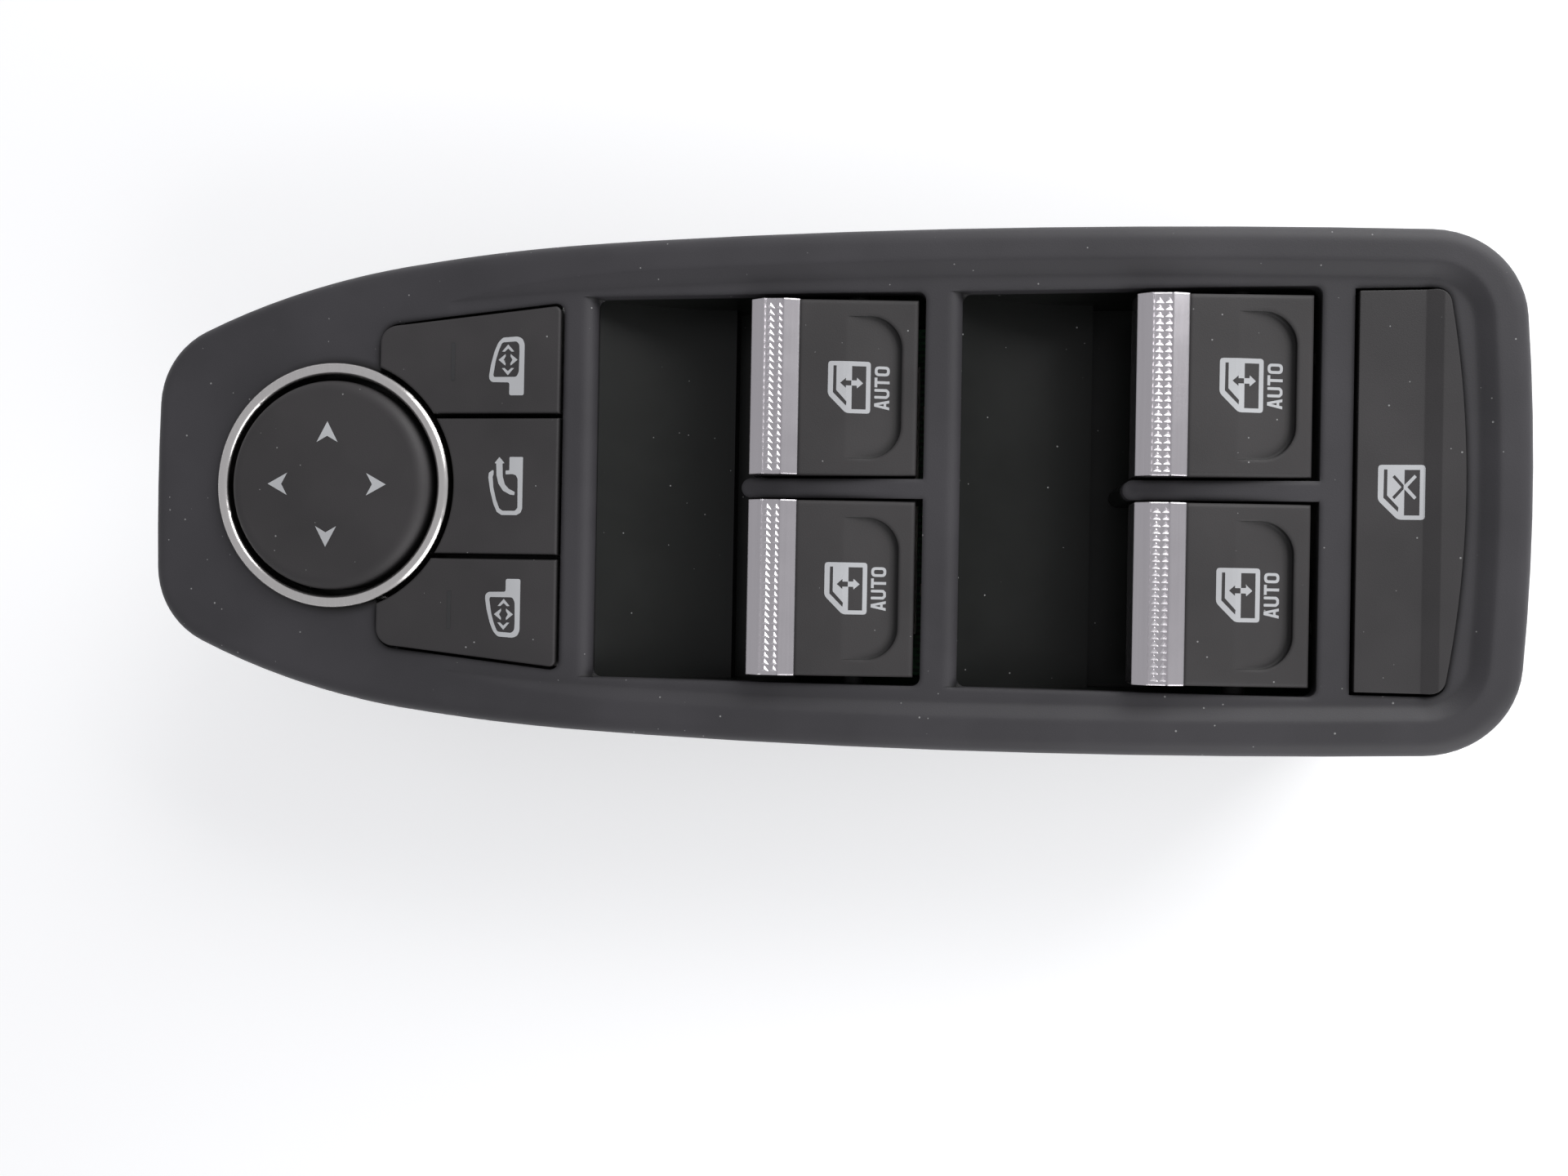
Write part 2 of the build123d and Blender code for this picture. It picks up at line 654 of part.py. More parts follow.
def window_lock_button():
    """The wide lock button: a hollow cap with a low ridge near its right edge."""
    plan = lock_plan(LOCK_GAP)
    low = FACE_Z - BUTTON_SKIRT
    cap = plan_prism(plan, low, FACE_Z + LOCK_H + LOCK_RIDGE)
    ridge_x = LOCK_OPENING[1] - LOCK_RIDGE_BACK
    top = FACE_Z + LOCK_H
    high = top + LOCK_RIDGE
    lowered = Polyline(
        (LOCK_OPENING[0], top),
        (ridge_x - LOCK_RIDGE_L, top),
        (ridge_x, high),
        (ridge_x, high + CUT),
        (LOCK_OPENING[0], high + CUT),
        close=True,
    )
    cap -= side_prism(lowered, -LOCK_HALF_W, LOCK_HALF_W)
    inner = offset(plan, amount=-BUTTON_WALL)
    cap -= plan_prism(inner, low - CUT, top - BUTTON_WALL)
    tip = BOARD_TOP_Z + LOCK_SWITCH[2] + LOCK_PLUNGER_H + LOCK_TRAVEL + PRESS_GAP
    return cap + rod_z(lock_x(), 0, BUTTON_STEM_R, tip, top - BUTTON_WALL / 2)


def lock_x():
    """Middle of the lock button along the bezel."""
    return (LOCK_OPENING[0] + LOCK_OPENING[1]) / 2 - LOCK_STEM_SHIFT


def lock_switch():
    """The push switch on the board under the lock button."""
    sx, sy, sz = LOCK_SWITCH
    x = lock_x()
    body = block(x - sx / 2, x + sx / 2, -sy / 2, sy / 2, BOARD_TOP_Z, BOARD_TOP_Z + sz)
    top = BOARD_TOP_Z + sz
    return body + rod_z(x, 0, LOCK_PLUNGER_R, top - ROOT, top + LOCK_PLUNGER_H)


def button_plans():
    """The faces of the three mirror buttons, from the upper one down."""
    whole = offset(mirror_opening(), amount=-BUTTON_GAP)
    whole -= Pos(KNOB_X, 0) * Circle(RING_R + BUTTON_RING_GAP)
    split = BUTTON_SPLIT_Y + BUTTON_SPLIT_GAP / 2
    inner = BUTTON_SPLIT_Y - BUTTON_SPLIT_GAP / 2
    span = MIRROR_OPENING_X[1] - KNOB_X + CUT
    upper = whole & (Pos(KNOB_X, split + span / 2) * Rectangle(2 * span, span))
    middle = whole & (Pos(KNOB_X, 0) * Rectangle(2 * span, 2 * inner))
    lower = whole & (Pos(KNOB_X, -split - span / 2) * Rectangle(2 * span, span))
    return [upper, middle, lower]


def button_places():
    """Where the stems of the three mirror buttons stand."""
    outer = (BUTTON_SPLIT_Y + MIRROR_OPENING_HALF[1]) / 2
    x = MIRROR_OPENING_X[1] - BUTTON_STEM_BACK
    return [(x, outer), (x, 0.0), (x, -outer)]


def mirror_button(plan, place):
    """A mirror button: hollow cap on a stem, its skirt clear of the housing when pressed."""
    top = FACE_Z + BUTTON_H
    low = FACE_Z - MIRROR_BODY_TOP_DEPTH + BUTTON_TRAVEL + BUTTON_FLOOR_GAP
    cap = plan_prism(plan, low, top)
    upper = [e for e in cap.edges() if e.bounding_box().min.Z > top - LOOSE]
    cap = fillet(upper, BUTTON_EDGE_R)
    inner = offset(plan, amount=-BUTTON_WALL)
    cap -= plan_prism(inner, low - 1, top - BUTTON_WALL)
    tip = TACT_TOP_Z + BUTTON_TRAVEL + PRESS_GAP
    return cap + rod_z(place[0], place[1], BUTTON_STEM_R, tip, top - BUTTON_WALL / 2)


def knob_trim_ring():
    """The bright ring around the mirror pad."""
    r1 = RING_R
    r0 = RING_R - RING_W
    z0 = FACE_Z - RING_DEPTH
    z1 = FACE_Z + RING_H
    shoulder = z1 - RING_ROUND_H
    section = make_face([
        Line((r0, z0), (r1, z0)),
        Line((r1, z0), (r1, shoulder)),
        ThreePointArc((r1, shoulder), ((r0 + r1) / 2, z1), (r0, shoulder)),
        Line((r0, shoulder), (r0, z0)),
    ])
    return Pos(KNOB_X, 0, 0) * revolve(Plane.XZ * section, axis=Axis.Z)


def mirror_knob():
    """The mirror pad: a domed cap on a hub, with four switch legs."""
    top = FACE_Z + KNOB_H
    low = FACE_Z - KNOB_SKIRT
    shoulder = top - KNOB_SHOULDER_H
    section = make_face([
        Line((0, low), (KNOB_R, low)),
        Line((KNOB_R, low), (KNOB_R, shoulder)),
        ThreePointArc((KNOB_R, shoulder), (KNOB_R - KNOB_EDGE[0], top - KNOB_EDGE[1]), (KNOB_TOP_R, top)),
        Line((KNOB_TOP_R, top), (0, top)),
        Line((0, top), (0, low)),
    ])
    cap = revolve(Plane.XZ * section, axis=Axis.Z)
    roof = top - KNOB_WALL
    cap -= rod_z(0, 0, KNOB_R - KNOB_WALL, low - CUT, roof)
    cap += rod_z(0, 0, GIMBAL_HUB_R, GIMBAL_Z - GIMBAL_H / 2, roof + ROOT)
    cap -= rod_z(0, 0, GIMBAL_HUB_R - KNOB_WALL, GIMBAL_Z - GIMBAL_H, roof)
    tip = GIMBAL_HUB_R + GIMBAL_PIN_L - GIMBAL_PIN_GAP
    for side in (-1, 1):
        x0, x1 = sorted((side * (GIMBAL_HUB_R - ROOT), side * tip))
        cap += rod_x(0, GIMBAL_Z, GIMBAL_PIN_R, x0, x1)
    for x, y in leg_places():
        cap += rod_z(x, y, KNOB_LEG_R, leg_tip_z(), roof + ROOT)
    return Pos(KNOB_X, 0, 0) * cap


def leg_places():
    """Where the four legs of the mirror pad stand, about its axis."""
    across_xy = KNOB_LEG_AT / math.sqrt(2)
    return [(sx * across_xy, sy * across_xy) for sx in (-1, 1) for sy in (-1, 1)]


def leg_tip_z():
    """Height of the leg tips: clear of the switches until the pad tilts."""
    tilt = math.sin(math.radians(KNOB_ANGLE))
    return TACT_TOP_Z + KNOB_LEG_AT * math.sqrt(2) * tilt + PRESS_GAP


def knob_gimbal_ring():
    """The ring between the pad and its housing: two pins, two bearings."""
    z0 = GIMBAL_Z - GIMBAL_H / 2
    z1 = GIMBAL_Z + GIMBAL_H / 2
    ring = rod_z(0, 0, GIMBAL_OUT_R, z0, z1) - rod_z(0, 0, GIMBAL_IN_R, z0 - CUT, z1 + CUT)
    reach = GIMBAL_OUT_R + CUT
    ring -= rod_x(0, GIMBAL_Z, GIMBAL_PIN_R + PIN_CLEARANCE, -reach, reach)
    for side in (-1, 1):
        y0, y1 = sorted((side * (GIMBAL_OUT_R - ROOT), side * (GIMBAL_OUT_R + GIMBAL_PIN_L)))
        ring += rod_y(0, GIMBAL_Z, GIMBAL_PIN_R, y0, y1)
    return Pos(KNOB_X, 0, 0) * ring


def mirror_body_plan(inset):
    """The mirror housing's outline: round under the pad, square under the buttons."""
    disc = Pos(KNOB_X, 0) * Circle(MIRROR_BODY_R - inset)
    x0 = KNOB_X + MIRROR_BODY_BACK + inset
    x1 = MIRROR_BODY_X - inset
    slab = Pos((x0 + x1) / 2, 0) * Rectangle(x1 - x0, 2 * (MIRROR_BODY_HALF_W - inset))
    return disc + slab


def mirror_switch_body():
    """The mirror housing: walls, shelf, gimbal posts, stem guides and screw ears."""
    top = FACE_Z - MIRROR_BODY_TOP_DEPTH
    body = plan_prism(mirror_body_plan(0), MIRROR_FLOOR_Z, top)
    body -= plan_prism(mirror_body_plan(MIRROR_BODY_WALL), MIRROR_FLOOR_Z - CUT, top - MIRROR_SHELF_T)
    body -= rod_z(KNOB_X, 0, MIRROR_HOLE_R, MIRROR_FLOOR_Z, top + CUT)
    post_y = GIMBAL_OUT_R + GIMBAL_POST_GAP
    for side in (-1, 1):
        y0, y1 = sorted((side * post_y, side * (MIRROR_HOLE_R + GIMBAL_POST_LAP)))
        wide = GIMBAL_POST_HALF
        body += block(KNOB_X - wide, KNOB_X + wide, y0, y1, GIMBAL_Z - wide, top)
    reach = GIMBAL_OUT_R + GIMBAL_PIN_L + GIMBAL_POST_GAP
    body -= rod_y(KNOB_X, GIMBAL_Z, GIMBAL_PIN_R + PIN_CLEARANCE, -reach, reach)
    for x, y in button_places():
        body -= rod_z(x, y, BUTTON_STEM_R + GUIDE_GAP, MIRROR_FLOOR_Z, top + CUT)
    base = FACE_Z - MIRROR_EAR_DEPTH
    for x, y in MIRROR_EARS:
        body += mirror_ear(x, y, base - EAR_T, base)
        body -= rod_z(x, y, SCREW_R + EAR_HOLE_GAP, base - EAR_T - CUT, base + CUT)
    return body


def mirror_ear(x, y, z0, z1):
    """A screw ear with its web to the mirror housing."""
    ear = rod_z(x, y, EAR_R, z0, z1)
    if y == 0:
        return ear + block(x, KNOB_X - MIRROR_BODY_R + ROOT, -EAR_R, EAR_R, z0, z1)
    y0, y1 = sorted((y, math.copysign(MIRROR_BODY_HALF_W - ROOT, y)))
    return ear + block(x - EAR_R, x + EAR_R, y0, y1, z0, z1)


def mirror_switch_cover():
    """The floor of the mirror housing, with its downward socket."""
    z1 = MIRROR_FLOOR_Z
    z0 = z1 - MIRROR_COVER_T
    cover = plan_prism(mirror_body_plan(0), z0, z1)
    hx, hy = MIRROR_SOCKET_HALF
    cover += block(KNOB_X - hx, KNOB_X + hx, -hy, hy, MIRROR_SOCKET_Z, z0)
    inner_x = hx - SOCKET_WALL
    inner_y = hy - SOCKET_WALL
    cover -= block(KNOB_X - inner_x, KNOB_X + inner_x, -inner_y, inner_y, MIRROR_SOCKET_Z - CUT, z0)
    half = PIN_T / 2 + PIN_FIT
    for x in mirror_pin_places():
        cover -= block(x - half, x + half, -half, half, z0 - CUT, z1 + CUT)
    return cover


def mirror_pin_places():
    """Where the mirror socket's pins stand along X."""
    first = KNOB_X - PIN_PITCH * (MIRROR_PINS - 1) / 2
    return [first + i * PIN_PITCH for i in range(MIRROR_PINS)]


def mirror_connector_pins():
    """The pins of the mirror socket, up to their board."""
    half = PIN_T / 2
    low = MIRROR_SOCKET_Z + PIN_SETBACK
    return [block(x - half, x + half, -half, half, low, MIRROR_FLOOR_Z) for x in mirror_pin_places()]


def mirror_circuit_board():
    """The board inside the mirror housing."""
    plan = mirror_body_plan(MIRROR_BODY_WALL + BOARD_GAP)
    return plan_prism(plan, MIRROR_FLOOR_Z, MIRROR_BOARD_TOP_Z)


def mirror_tact_switches():
    """The push switches under the mirror buttons and the pad's legs."""
    places = button_places() + [(KNOB_X + x, y) for x, y in leg_places()]
    return [tact_switch(x, y, MIRROR_BOARD_TOP_Z) for x, y in places]


def tact_switch(x, y, z):
    """A square push switch with a round button."""
    half = TACT_SIZE / 2
    body = block(x - half, x + half, y - half, y + half, z, z + TACT_H)
    return body + rod_z(x, y, TACT_BUTTON_R, z + TACT_H - ROOT, z + TACT_H + TACT_BUTTON_H)


def frame_plan(inset):
    """The housing's rounded rectangle."""
    radius = max(FRAME_CORNER_R - inset, LEAST_R)
    return rounded_plan(FRAME_X[0] + inset, FRAME_X[1] - inset, FRAME_HALF_W - inset, radius)


def switch_frame():
    """The upper housing: walls, beams, finger wells, rib walls, bearings and bosses."""
    body = plan_prism(frame_plan(0), COVER_H, FRAME_TOP_Z)
    body -= plan_prism(frame_plan(FRAME_WALL), COVER_H - CUT, FRAME_TOP_Z + CUT)
    body += frame_beams()
    inner = FRAME_HALF_W - FRAME_WALL
    for x in PAIRS:
        body += finger_well(x, inner + ROOT)
        body += rib(x, WELL_SHELF_Z - ROOT, FRAME_TOP_Z)
        reach = FRAME_HALF_W - TRUNNION_COVER + TRUNNION_PLAY
        body -= rod_y(x - PIVOT_BACK, PIVOT_Z, TRUNNION_R + PIN_CLEARANCE, -reach, reach)
    for x in BEAMS:
        for side in (-1, 1):
            y = side * COVER_SCREW_Y
            body += rod_z(x, y, BOSS_R, BOARD_TOP_Z, FRAME_TOP_Z - ROOT)
            body -= rod_z(x, y, SCREW_R + PILOT_GAP, BOARD_TOP_Z - CUT, cover_screw_top() + PILOT_SPARE)
    return frame_ears(body & crown_prism(RIM_H + FACE_T))


def frame_beams():
    """The cross walls between the wells, level with the frame's top."""
    inner = FRAME_HALF_W - FRAME_WALL + ROOT
    low = FACE_Z - WELL_END_DEPTH
    spans = [
        (FRAME_X[0] + ROOT, PAIRS[0] - OPENING_L - BEAM_LAP_LEFT),
        (PAIRS[0] + BEAM_LAP_RIGHT, PAIRS[1] - OPENING_L - BEAM_LAP_LEFT),
        (PAIRS[1] + BEAM_LAP_RIGHT, LOCK_OPENING[0] - BEAM_LAP_LOCK),
    ]
    return [block(x0, x1, -inner, inner, low, FRAME_TOP_Z) for x0, x1 in spans]


def finger_well(x, half_w):
    """The curved floor of a finger well, with a step down to a shelf under the rockers' noses."""
    start = (x - OPENING_L - WELL_START, FACE_Z - WELL_TOP_DEPTH)
    end = (x - WELL_END_BACK, FACE_Z - WELL_END_DEPTH)
    mid = ((start[0] + end[0]) / 2, (start[1] + end[1]) / 2 - WELL_SAG)
    down = -WELL_T
    outline = [
        ThreePointArc(start, mid, end),
        Line(end, (end[0], end[1] + down)),
        ThreePointArc((end[0], end[1] + down), (mid[0], mid[1] + down), (start[0], start[1] + down)),
        Line((start[0], start[1] + down), start),
    ]
    tip = x - WELL_SHELF_BACK
    low = WELL_SHELF_Z - WELL_T
    step = Polyline(
        (end[0] - WELL_T, end[1]),
        end,
        (end[0], WELL_SHELF_Z),
        (tip, WELL_SHELF_Z),
        (tip, low),
        (end[0] - WELL_T, low),
        close=True,
    )
    return side_prism(outline, -half_w, half_w) + side_prism(step, -half_w, half_w)


def frame_ears(body):
    """The frame with its screw ears, and room for the bezel's bosses."""
    base = FACE_Z - BEZEL_EAR_DEPTH
    for x, y in BEZEL_EARS:
        for side in (-1, 1):
            body -= rod_z(x, side * y, BOSS_R + PRESS_GAP, base, FRAME_TOP_Z + CUT)
            body -= rod_z(x, side * y, SCREW_HEAD_R + SCREW_HEAD_GAP, COVER_H - CUT, base - EAR_T)
            body += rod_z(x, side * y, EAR_R, base - EAR_T, base)
            body -= rod_z(x, side * y, SCREW_R + EAR_HOLE_GAP, base - EAR_T - CUT, base + CUT)
    return body


def bezel_screws():
    """The screws that hold the frame to the bezel."""
    seat = FACE_Z - BEZEL_EAR_DEPTH - EAR_T
    return [screw(x, side * y, seat, SCREW_L) for x, y in BEZEL_EARS for side in (1, -1)]


def mirror_screws():
    """The screws that hold the mirror housing to the bezel."""
    seat = FACE_Z - MIRROR_EAR_DEPTH - EAR_T
    return [screw(x, y, seat, SCREW_L) for x, y in MIRROR_EARS]


def cover_screws():
    """The screws that hold the lower cover to the frame, deep in their wells."""
    places = [(x, side * COVER_SCREW_Y) for x in BEAMS for side in (1, -1)]
    return [screw(x, y, COVER_BORE_DEPTH, COVER_SCREW_L) for x, y in places]


def cover_screw_top():
    """Height that the cover screws reach."""
    return COVER_BORE_DEPTH + COVER_SCREW_L


def screw(x, y, seat, length):
    """A pan head screw under its seat, with a cross recess."""
    head = rod_z(x, y, SCREW_HEAD_R, seat - SCREW_HEAD_H, seat)
    long = SCREW_HEAD_R * RECESS_SHARE
    wide = RECESS_HALF_W
    low = seat - SCREW_HEAD_H
    head -= block(x - long, x + long, y - wide, y + wide, low - CUT, low + RECESS_DEPTH)
    head -= block(x - wide, x + wide, y - long, y + long, low - CUT, low + RECESS_DEPTH)
    return head + rod_z(x, y, SCREW_R, seat - ROOT, seat + length)


def lower_cover():
    """The tray that closes the housing from below, with screw wells and the socket's cut-out."""
    body = plan_prism(frame_plan(0), 0, COVER_H)
    body -= plan_prism(frame_plan(COVER_WALL), COVER_T, COVER_H + CUT)
    for x in BEAMS:
        for side in (-1, 1):
            y = side * COVER_SCREW_Y
            body += rod_z(x, y, COVER_POST_R, COVER_T - ROOT, COVER_H)
            body -= rod_z(x, y, COVER_BORE_R, -CUT, COVER_BORE_DEPTH)
            body -= rod_z(x, y, SCREW_R + EAR_HOLE_GAP, 0, COVER_H + CUT)
    half = SOCKET_HALF_W + SOCKET_FIT
    z0, z1 = SOCKET_Z
    x0 = FRAME_X[0] - CUT
    x1 = FRAME_X[0] + COVER_WALL + CUT
    return body - block(x0, x1, -half, half, z0, z1 + SOCKET_FIT)


def circuit_board():
    """The main board, on the lower cover's posts."""
    plan = frame_plan(FRAME_WALL + BOARD_GAP)
    board = plan_prism(plan, COVER_H, BOARD_TOP_Z)
    holes = [(x, side * COVER_SCREW_Y) for x in BEAMS for side in (-1, 1)]
    board -= [rod_z(x, y, SCREW_R + EAR_HOLE_GAP, COVER_H - CUT, BOARD_TOP_Z + CUT) for x, y in holes]
    return board


def control_chip():
    """The control circuit on the main board, below a finger well."""
    long_x, wide_y, high = CHIP
    x = PAIRS[1] - OPENING_L + long_x / 2
    y = wide_y / 2
    return block(x, x + long_x, -y, y, BOARD_TOP_Z, BOARD_TOP_Z + high)


def backlight_leds():
    """The lamps on the board behind each rocker's lever."""
    long_x, wide_y, high = LED
    spots = [(x - ROCKER_REAR_GAP + LED_BACK, side * ROCKER_Y) for x in PAIRS for side in (1, -1)]
    top = BOARD_TOP_Z + high
    return [
        block(x, x + long_x, y - wide_y / 2, y + wide_y / 2, BOARD_TOP_Z, top)
        for x, y in spots
    ]


def connector_shroud():
    """The open box of the main socket, with a flange behind the cover's wall."""
    z0, z1 = SOCKET_Z
    back = FRAME_X[0] + COVER_WALL
    front = back - SOCKET_L
    half = SOCKET_HALF_W
    body = block(front, back + SOCKET_BACK_T, -half, half, z0, z1)
    wide = half + SOCKET_FLANGE
    body += block(back, back + SOCKET_BACK_T, -wide, wide, z0, z1 + SOCKET_FLANGE)
    wall = SOCKET_WALL
    body -= block(front - CUT, back, wall - half, half - wall, z0 + wall, z1 - wall)
    t = PIN_T / 2 + PIN_FIT
    for y, z, _ in pin_places():
        body -= block(back - CUT, back + SOCKET_BACK_T + CUT, y - t, y + t, z - t, z + t)
    return body


def pin_places():
    """Each pin of the main socket: its Y, its height and where it turns up."""
    mid = (SOCKET_Z[0] + SOCKET_Z[1]) / 2
    back = FRAME_X[0] + COVER_WALL + SOCKET_BACK_T
    first = -PIN_PITCH * (PINS_PER_ROW - 1) / 2
    rows = [(mid - PIN_PITCH / 2, back + PIN_TURNS[0]), (mid + PIN_PITCH / 2, back + PIN_TURNS[1])]
    return [(first + i * PIN_PITCH, z, turn) for z, turn in rows for i in range(PINS_PER_ROW)]


def connector_pins():
    """The bent pins of the main socket, up to the board's underside."""
    front = FRAME_X[0] + COVER_WALL - SOCKET_L + PIN_SETBACK
    t = PIN_T / 2
    pins = []
    for y, z, turn in pin_places():
        flat = block(front, turn + t, y - t, y + t, z - t, z + t)
        pins.append(flat + block(turn - t, turn + t, y - t, y + t, z - t, COVER_H))
    return pins


def spring_clip(x, side):
    """A folded spring steel clip on the housing's flank."""
    y = FRAME_HALF_W
    z0, z1 = CLIP_Z
    knee = z0 + (z1 - z0) * CLIP_KNEE
    out = y + CLIP_REACH
    path = Polyline(
        (y, z0),
        (y, z1),
        (y + CLIP_T, z1),
        (out + CLIP_T, knee),
        (y + CLIP_T, z0 + CLIP_FOOT),
        (y + CLIP_T, z0),
        close=True,
    )
    outer = make_face(path)
    hollow = make_face(Polyline(
        (y + CLIP_T, z1 - CLIP_OPEN[0]),
        (out - CLIP_THIN, knee),
        (y + CLIP_T, z0 + CLIP_OPEN[1]),
        close=True,
    ))
    strip = extrude(Plane.YZ * (outer - hollow), amount=CLIP_W)
    clip = Pos(x - CLIP_W / 2, 0, 0) * strip
    return clip if side > 0 else mirror_y(clip)


def spring_clips():
    """The clips that snap the unit into its panel."""
    return [spring_clip(x, side) for x in CLIP_X for side in (1, -1)]


def save(name, shape):
    """Write one named piece, or one group of like pieces."""
    pieces = shape if isinstance(shape, (list, tuple)) else [shape]
    solids = [solid for piece in pieces for solid in piece.solids()]
    whole = solids[0] if len(solids) == 1 else Compound(children=solids)
    whole.label = name
    export_step(whole, os.path.join("parts", name + ".step"))


def main():
    os.makedirs("parts", exist_ok=True)
    save("trim_bezel", trim_bezel())
    save("knob_trim_ring", knob_trim_ring())
    save("mirror_knob", mirror_knob())
    save("knob_gimbal_ring", knob_gimbal_ring())
    names = ["mirror_select_button_left", "mirror_fold_button", "mirror_select_button_right"]
    for name, plan, place in zip(names, button_plans(), button_places()):
        save(name, mirror_button(plan, place))
    save("mirror_switch_body", mirror_switch_body())
    save("mirror_switch_cover", mirror_switch_cover())
    save("mirror_circuit_board", mirror_circuit_board())
    save("mirror_tact_switches", mirror_tact_switches())
    save("mirror_connector_pins", mirror_connector_pins())
    save("window_lock_button", window_lock_button())
    save("lock_switch", lock_switch())
    number = 0
    for pair, x in enumerate(PAIRS):
        save(f"slider_guide_{pair + 1}", slider_guide(x - PIVOT_BACK))
        for side in (1, -1):
            number += 1
            save(f"window_rocker_{number}", window_rocker(x, side))
            save(f"rocker_grip_bar_{number}", rocker_grip_bar(x, side))
            save(f"contact_slider_{number}", contact_slider(x - PIVOT_BACK, side))
    save("switch_frame", switch_frame())
    save("lower_cover", lower_cover())
    save("circuit_board", circuit_board())
    save("control_chip", control_chip())
    save("backlight_leds", backlight_leds())
    save("connector_shroud", connector_shroud())
    save("connector_pins", connector_pins())
    save("bezel_screws", bezel_screws())
    save("mirror_screws", mirror_screws())
    save("cover_screws", cover_screws())
    save("spring_clips", spring_clips())


main()
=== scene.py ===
import bpy
import bmesh
import json
from mathutils import Matrix, Vector
from mathutils.bvhtree import BVHTree


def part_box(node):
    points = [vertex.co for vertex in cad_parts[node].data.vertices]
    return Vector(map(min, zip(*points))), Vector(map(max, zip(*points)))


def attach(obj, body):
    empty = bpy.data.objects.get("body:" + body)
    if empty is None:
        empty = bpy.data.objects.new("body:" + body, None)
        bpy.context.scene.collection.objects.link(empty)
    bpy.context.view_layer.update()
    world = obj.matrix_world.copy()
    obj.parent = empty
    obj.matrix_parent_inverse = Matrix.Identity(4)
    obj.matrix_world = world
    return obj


# The dressed power window switch: finishes for every moulded, plated and metal
# piece, the printed legends, and the knurled grips of the rocker bars.

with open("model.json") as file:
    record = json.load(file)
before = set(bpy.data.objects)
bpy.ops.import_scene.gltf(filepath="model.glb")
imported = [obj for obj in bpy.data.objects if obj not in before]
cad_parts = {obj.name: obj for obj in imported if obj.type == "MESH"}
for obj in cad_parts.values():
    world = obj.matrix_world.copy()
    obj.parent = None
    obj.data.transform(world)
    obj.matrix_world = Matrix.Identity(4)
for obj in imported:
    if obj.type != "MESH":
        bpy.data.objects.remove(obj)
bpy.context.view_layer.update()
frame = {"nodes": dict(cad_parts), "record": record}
MM = 0.001

# Camera: its place in millimetres, with its height taken from the bezel's face, its axes and its lens
FACE_Z = 42.0
CAMERA_AT = (22.08, -14.29, 166.7)
CAMERA_RIGHT = (0.99094, 0.01771, -0.13315)
CAMERA_UP = (-0.01726, 0.99984, 0.00458)
CAMERA_BACK = (0.13321, -0.00224, 0.99109)
LENS_MM = 27.75
SENSOR_MM = 36.0
CLIP_START = 0.005

# Surroundings, in metres: two lights of (name, place, watts), both of one size and facing one point
WORLD_COLOUR = (0.97, 0.97, 1.0, 1)
WORLD_LIGHT = 0.44
FLOOR_COLOUR = (0.9, 0.905, 0.915, 1)
FLOOR_ROUGH = 0.9
FLOOR_GLOW = 0.3
FLOOR_SIZE = 4.0
FLOOR_Z = -0.0002
LIGHTS = (
    ("window_light", (0.28, 0.38, 0.27), 2.4),
    ("room_near", (0.3, -0.36, 0.27), 1.5),
)
LIGHT_SIZE = 0.42
LIGHT_AIM = (0.03, 0, 0.04)

# Noise in the finishes: cycles a metre, and detail
TONE = (60.0, 3.0)
GLOSS = (240.0, 4.0)
GRAIN = (5200.0, 2.0)
HANDLING = (300.0, 3.0)
MOTTLE = (900.0, 4.0)
METAL_GRAIN = (2500.0, 2.0)

# Other patterns, in cycles a metre
DUST_SCALE = 800.0
STREAK_SCALE = (3000.0, 60.0, 3000.0)
TRACK_SCALE = 260.0

# Where a ramp of colour over noise starts and ends
TONE_RAMP = (0.35, 0.65)
STREAK_RAMP = (0.3, 0.7)
MOTTLE_RAMP = (0.35, 0.7)

# Relief of the finishes: depth in metres, and strength
GRAIN_DEPTH = 0.00006
STREAK_DEPTH = 0.00002
STREAK_RELIEF = 0.05
METAL_DEPTH = 0.00003
METAL_RELIEF = 0.15

# How far roughness wanders: added for plastic, as shares for plating
PLASTIC_WANDER = 0.05
PLATE_WANDER = (0.85, 1.2)

# The share of its brightness that plating keeps in a streak, and bare metal in a darker patch
STREAK_KEEPS = 0.96
METAL_KEEPS = 0.75

# Circuit board: two tones of its mask, the tracks and their width in a cell, and its roughness
MASK_DARK = (0.012, 0.075, 0.03, 1)
MASK_LIGHT = (0.014, 0.09, 0.035, 1)
TRACK_GREEN = (0.03, 0.16, 0.06, 1)
TRACK_WIDTH = 0.06
BOARD_ROUGH = 0.35

# Dust: the share of cells without a speck, and the specks' grey
DUST_FREE = 0.72
DUST_GREY = (0.26, 0.26, 0.26, 1)

# Painted shade in narrow gaps: reach in metres, how fast the painted shade darkens, and the painted tone at
# the bottom of a gap
GAP_SHADE_REACH = 0.0014
GAP_SHADE_POWER = 2.2
PAINTED_SHADE_BLACK = (0.002, 0.002, 0.002, 1)

# Rays for each soft edge and each gap of painted shade
EDGE_RAYS = 6

# The colour sockets of a mix node
MIX_LOW, MIX_HIGH, MIX_RESULT = 6, 7, 2

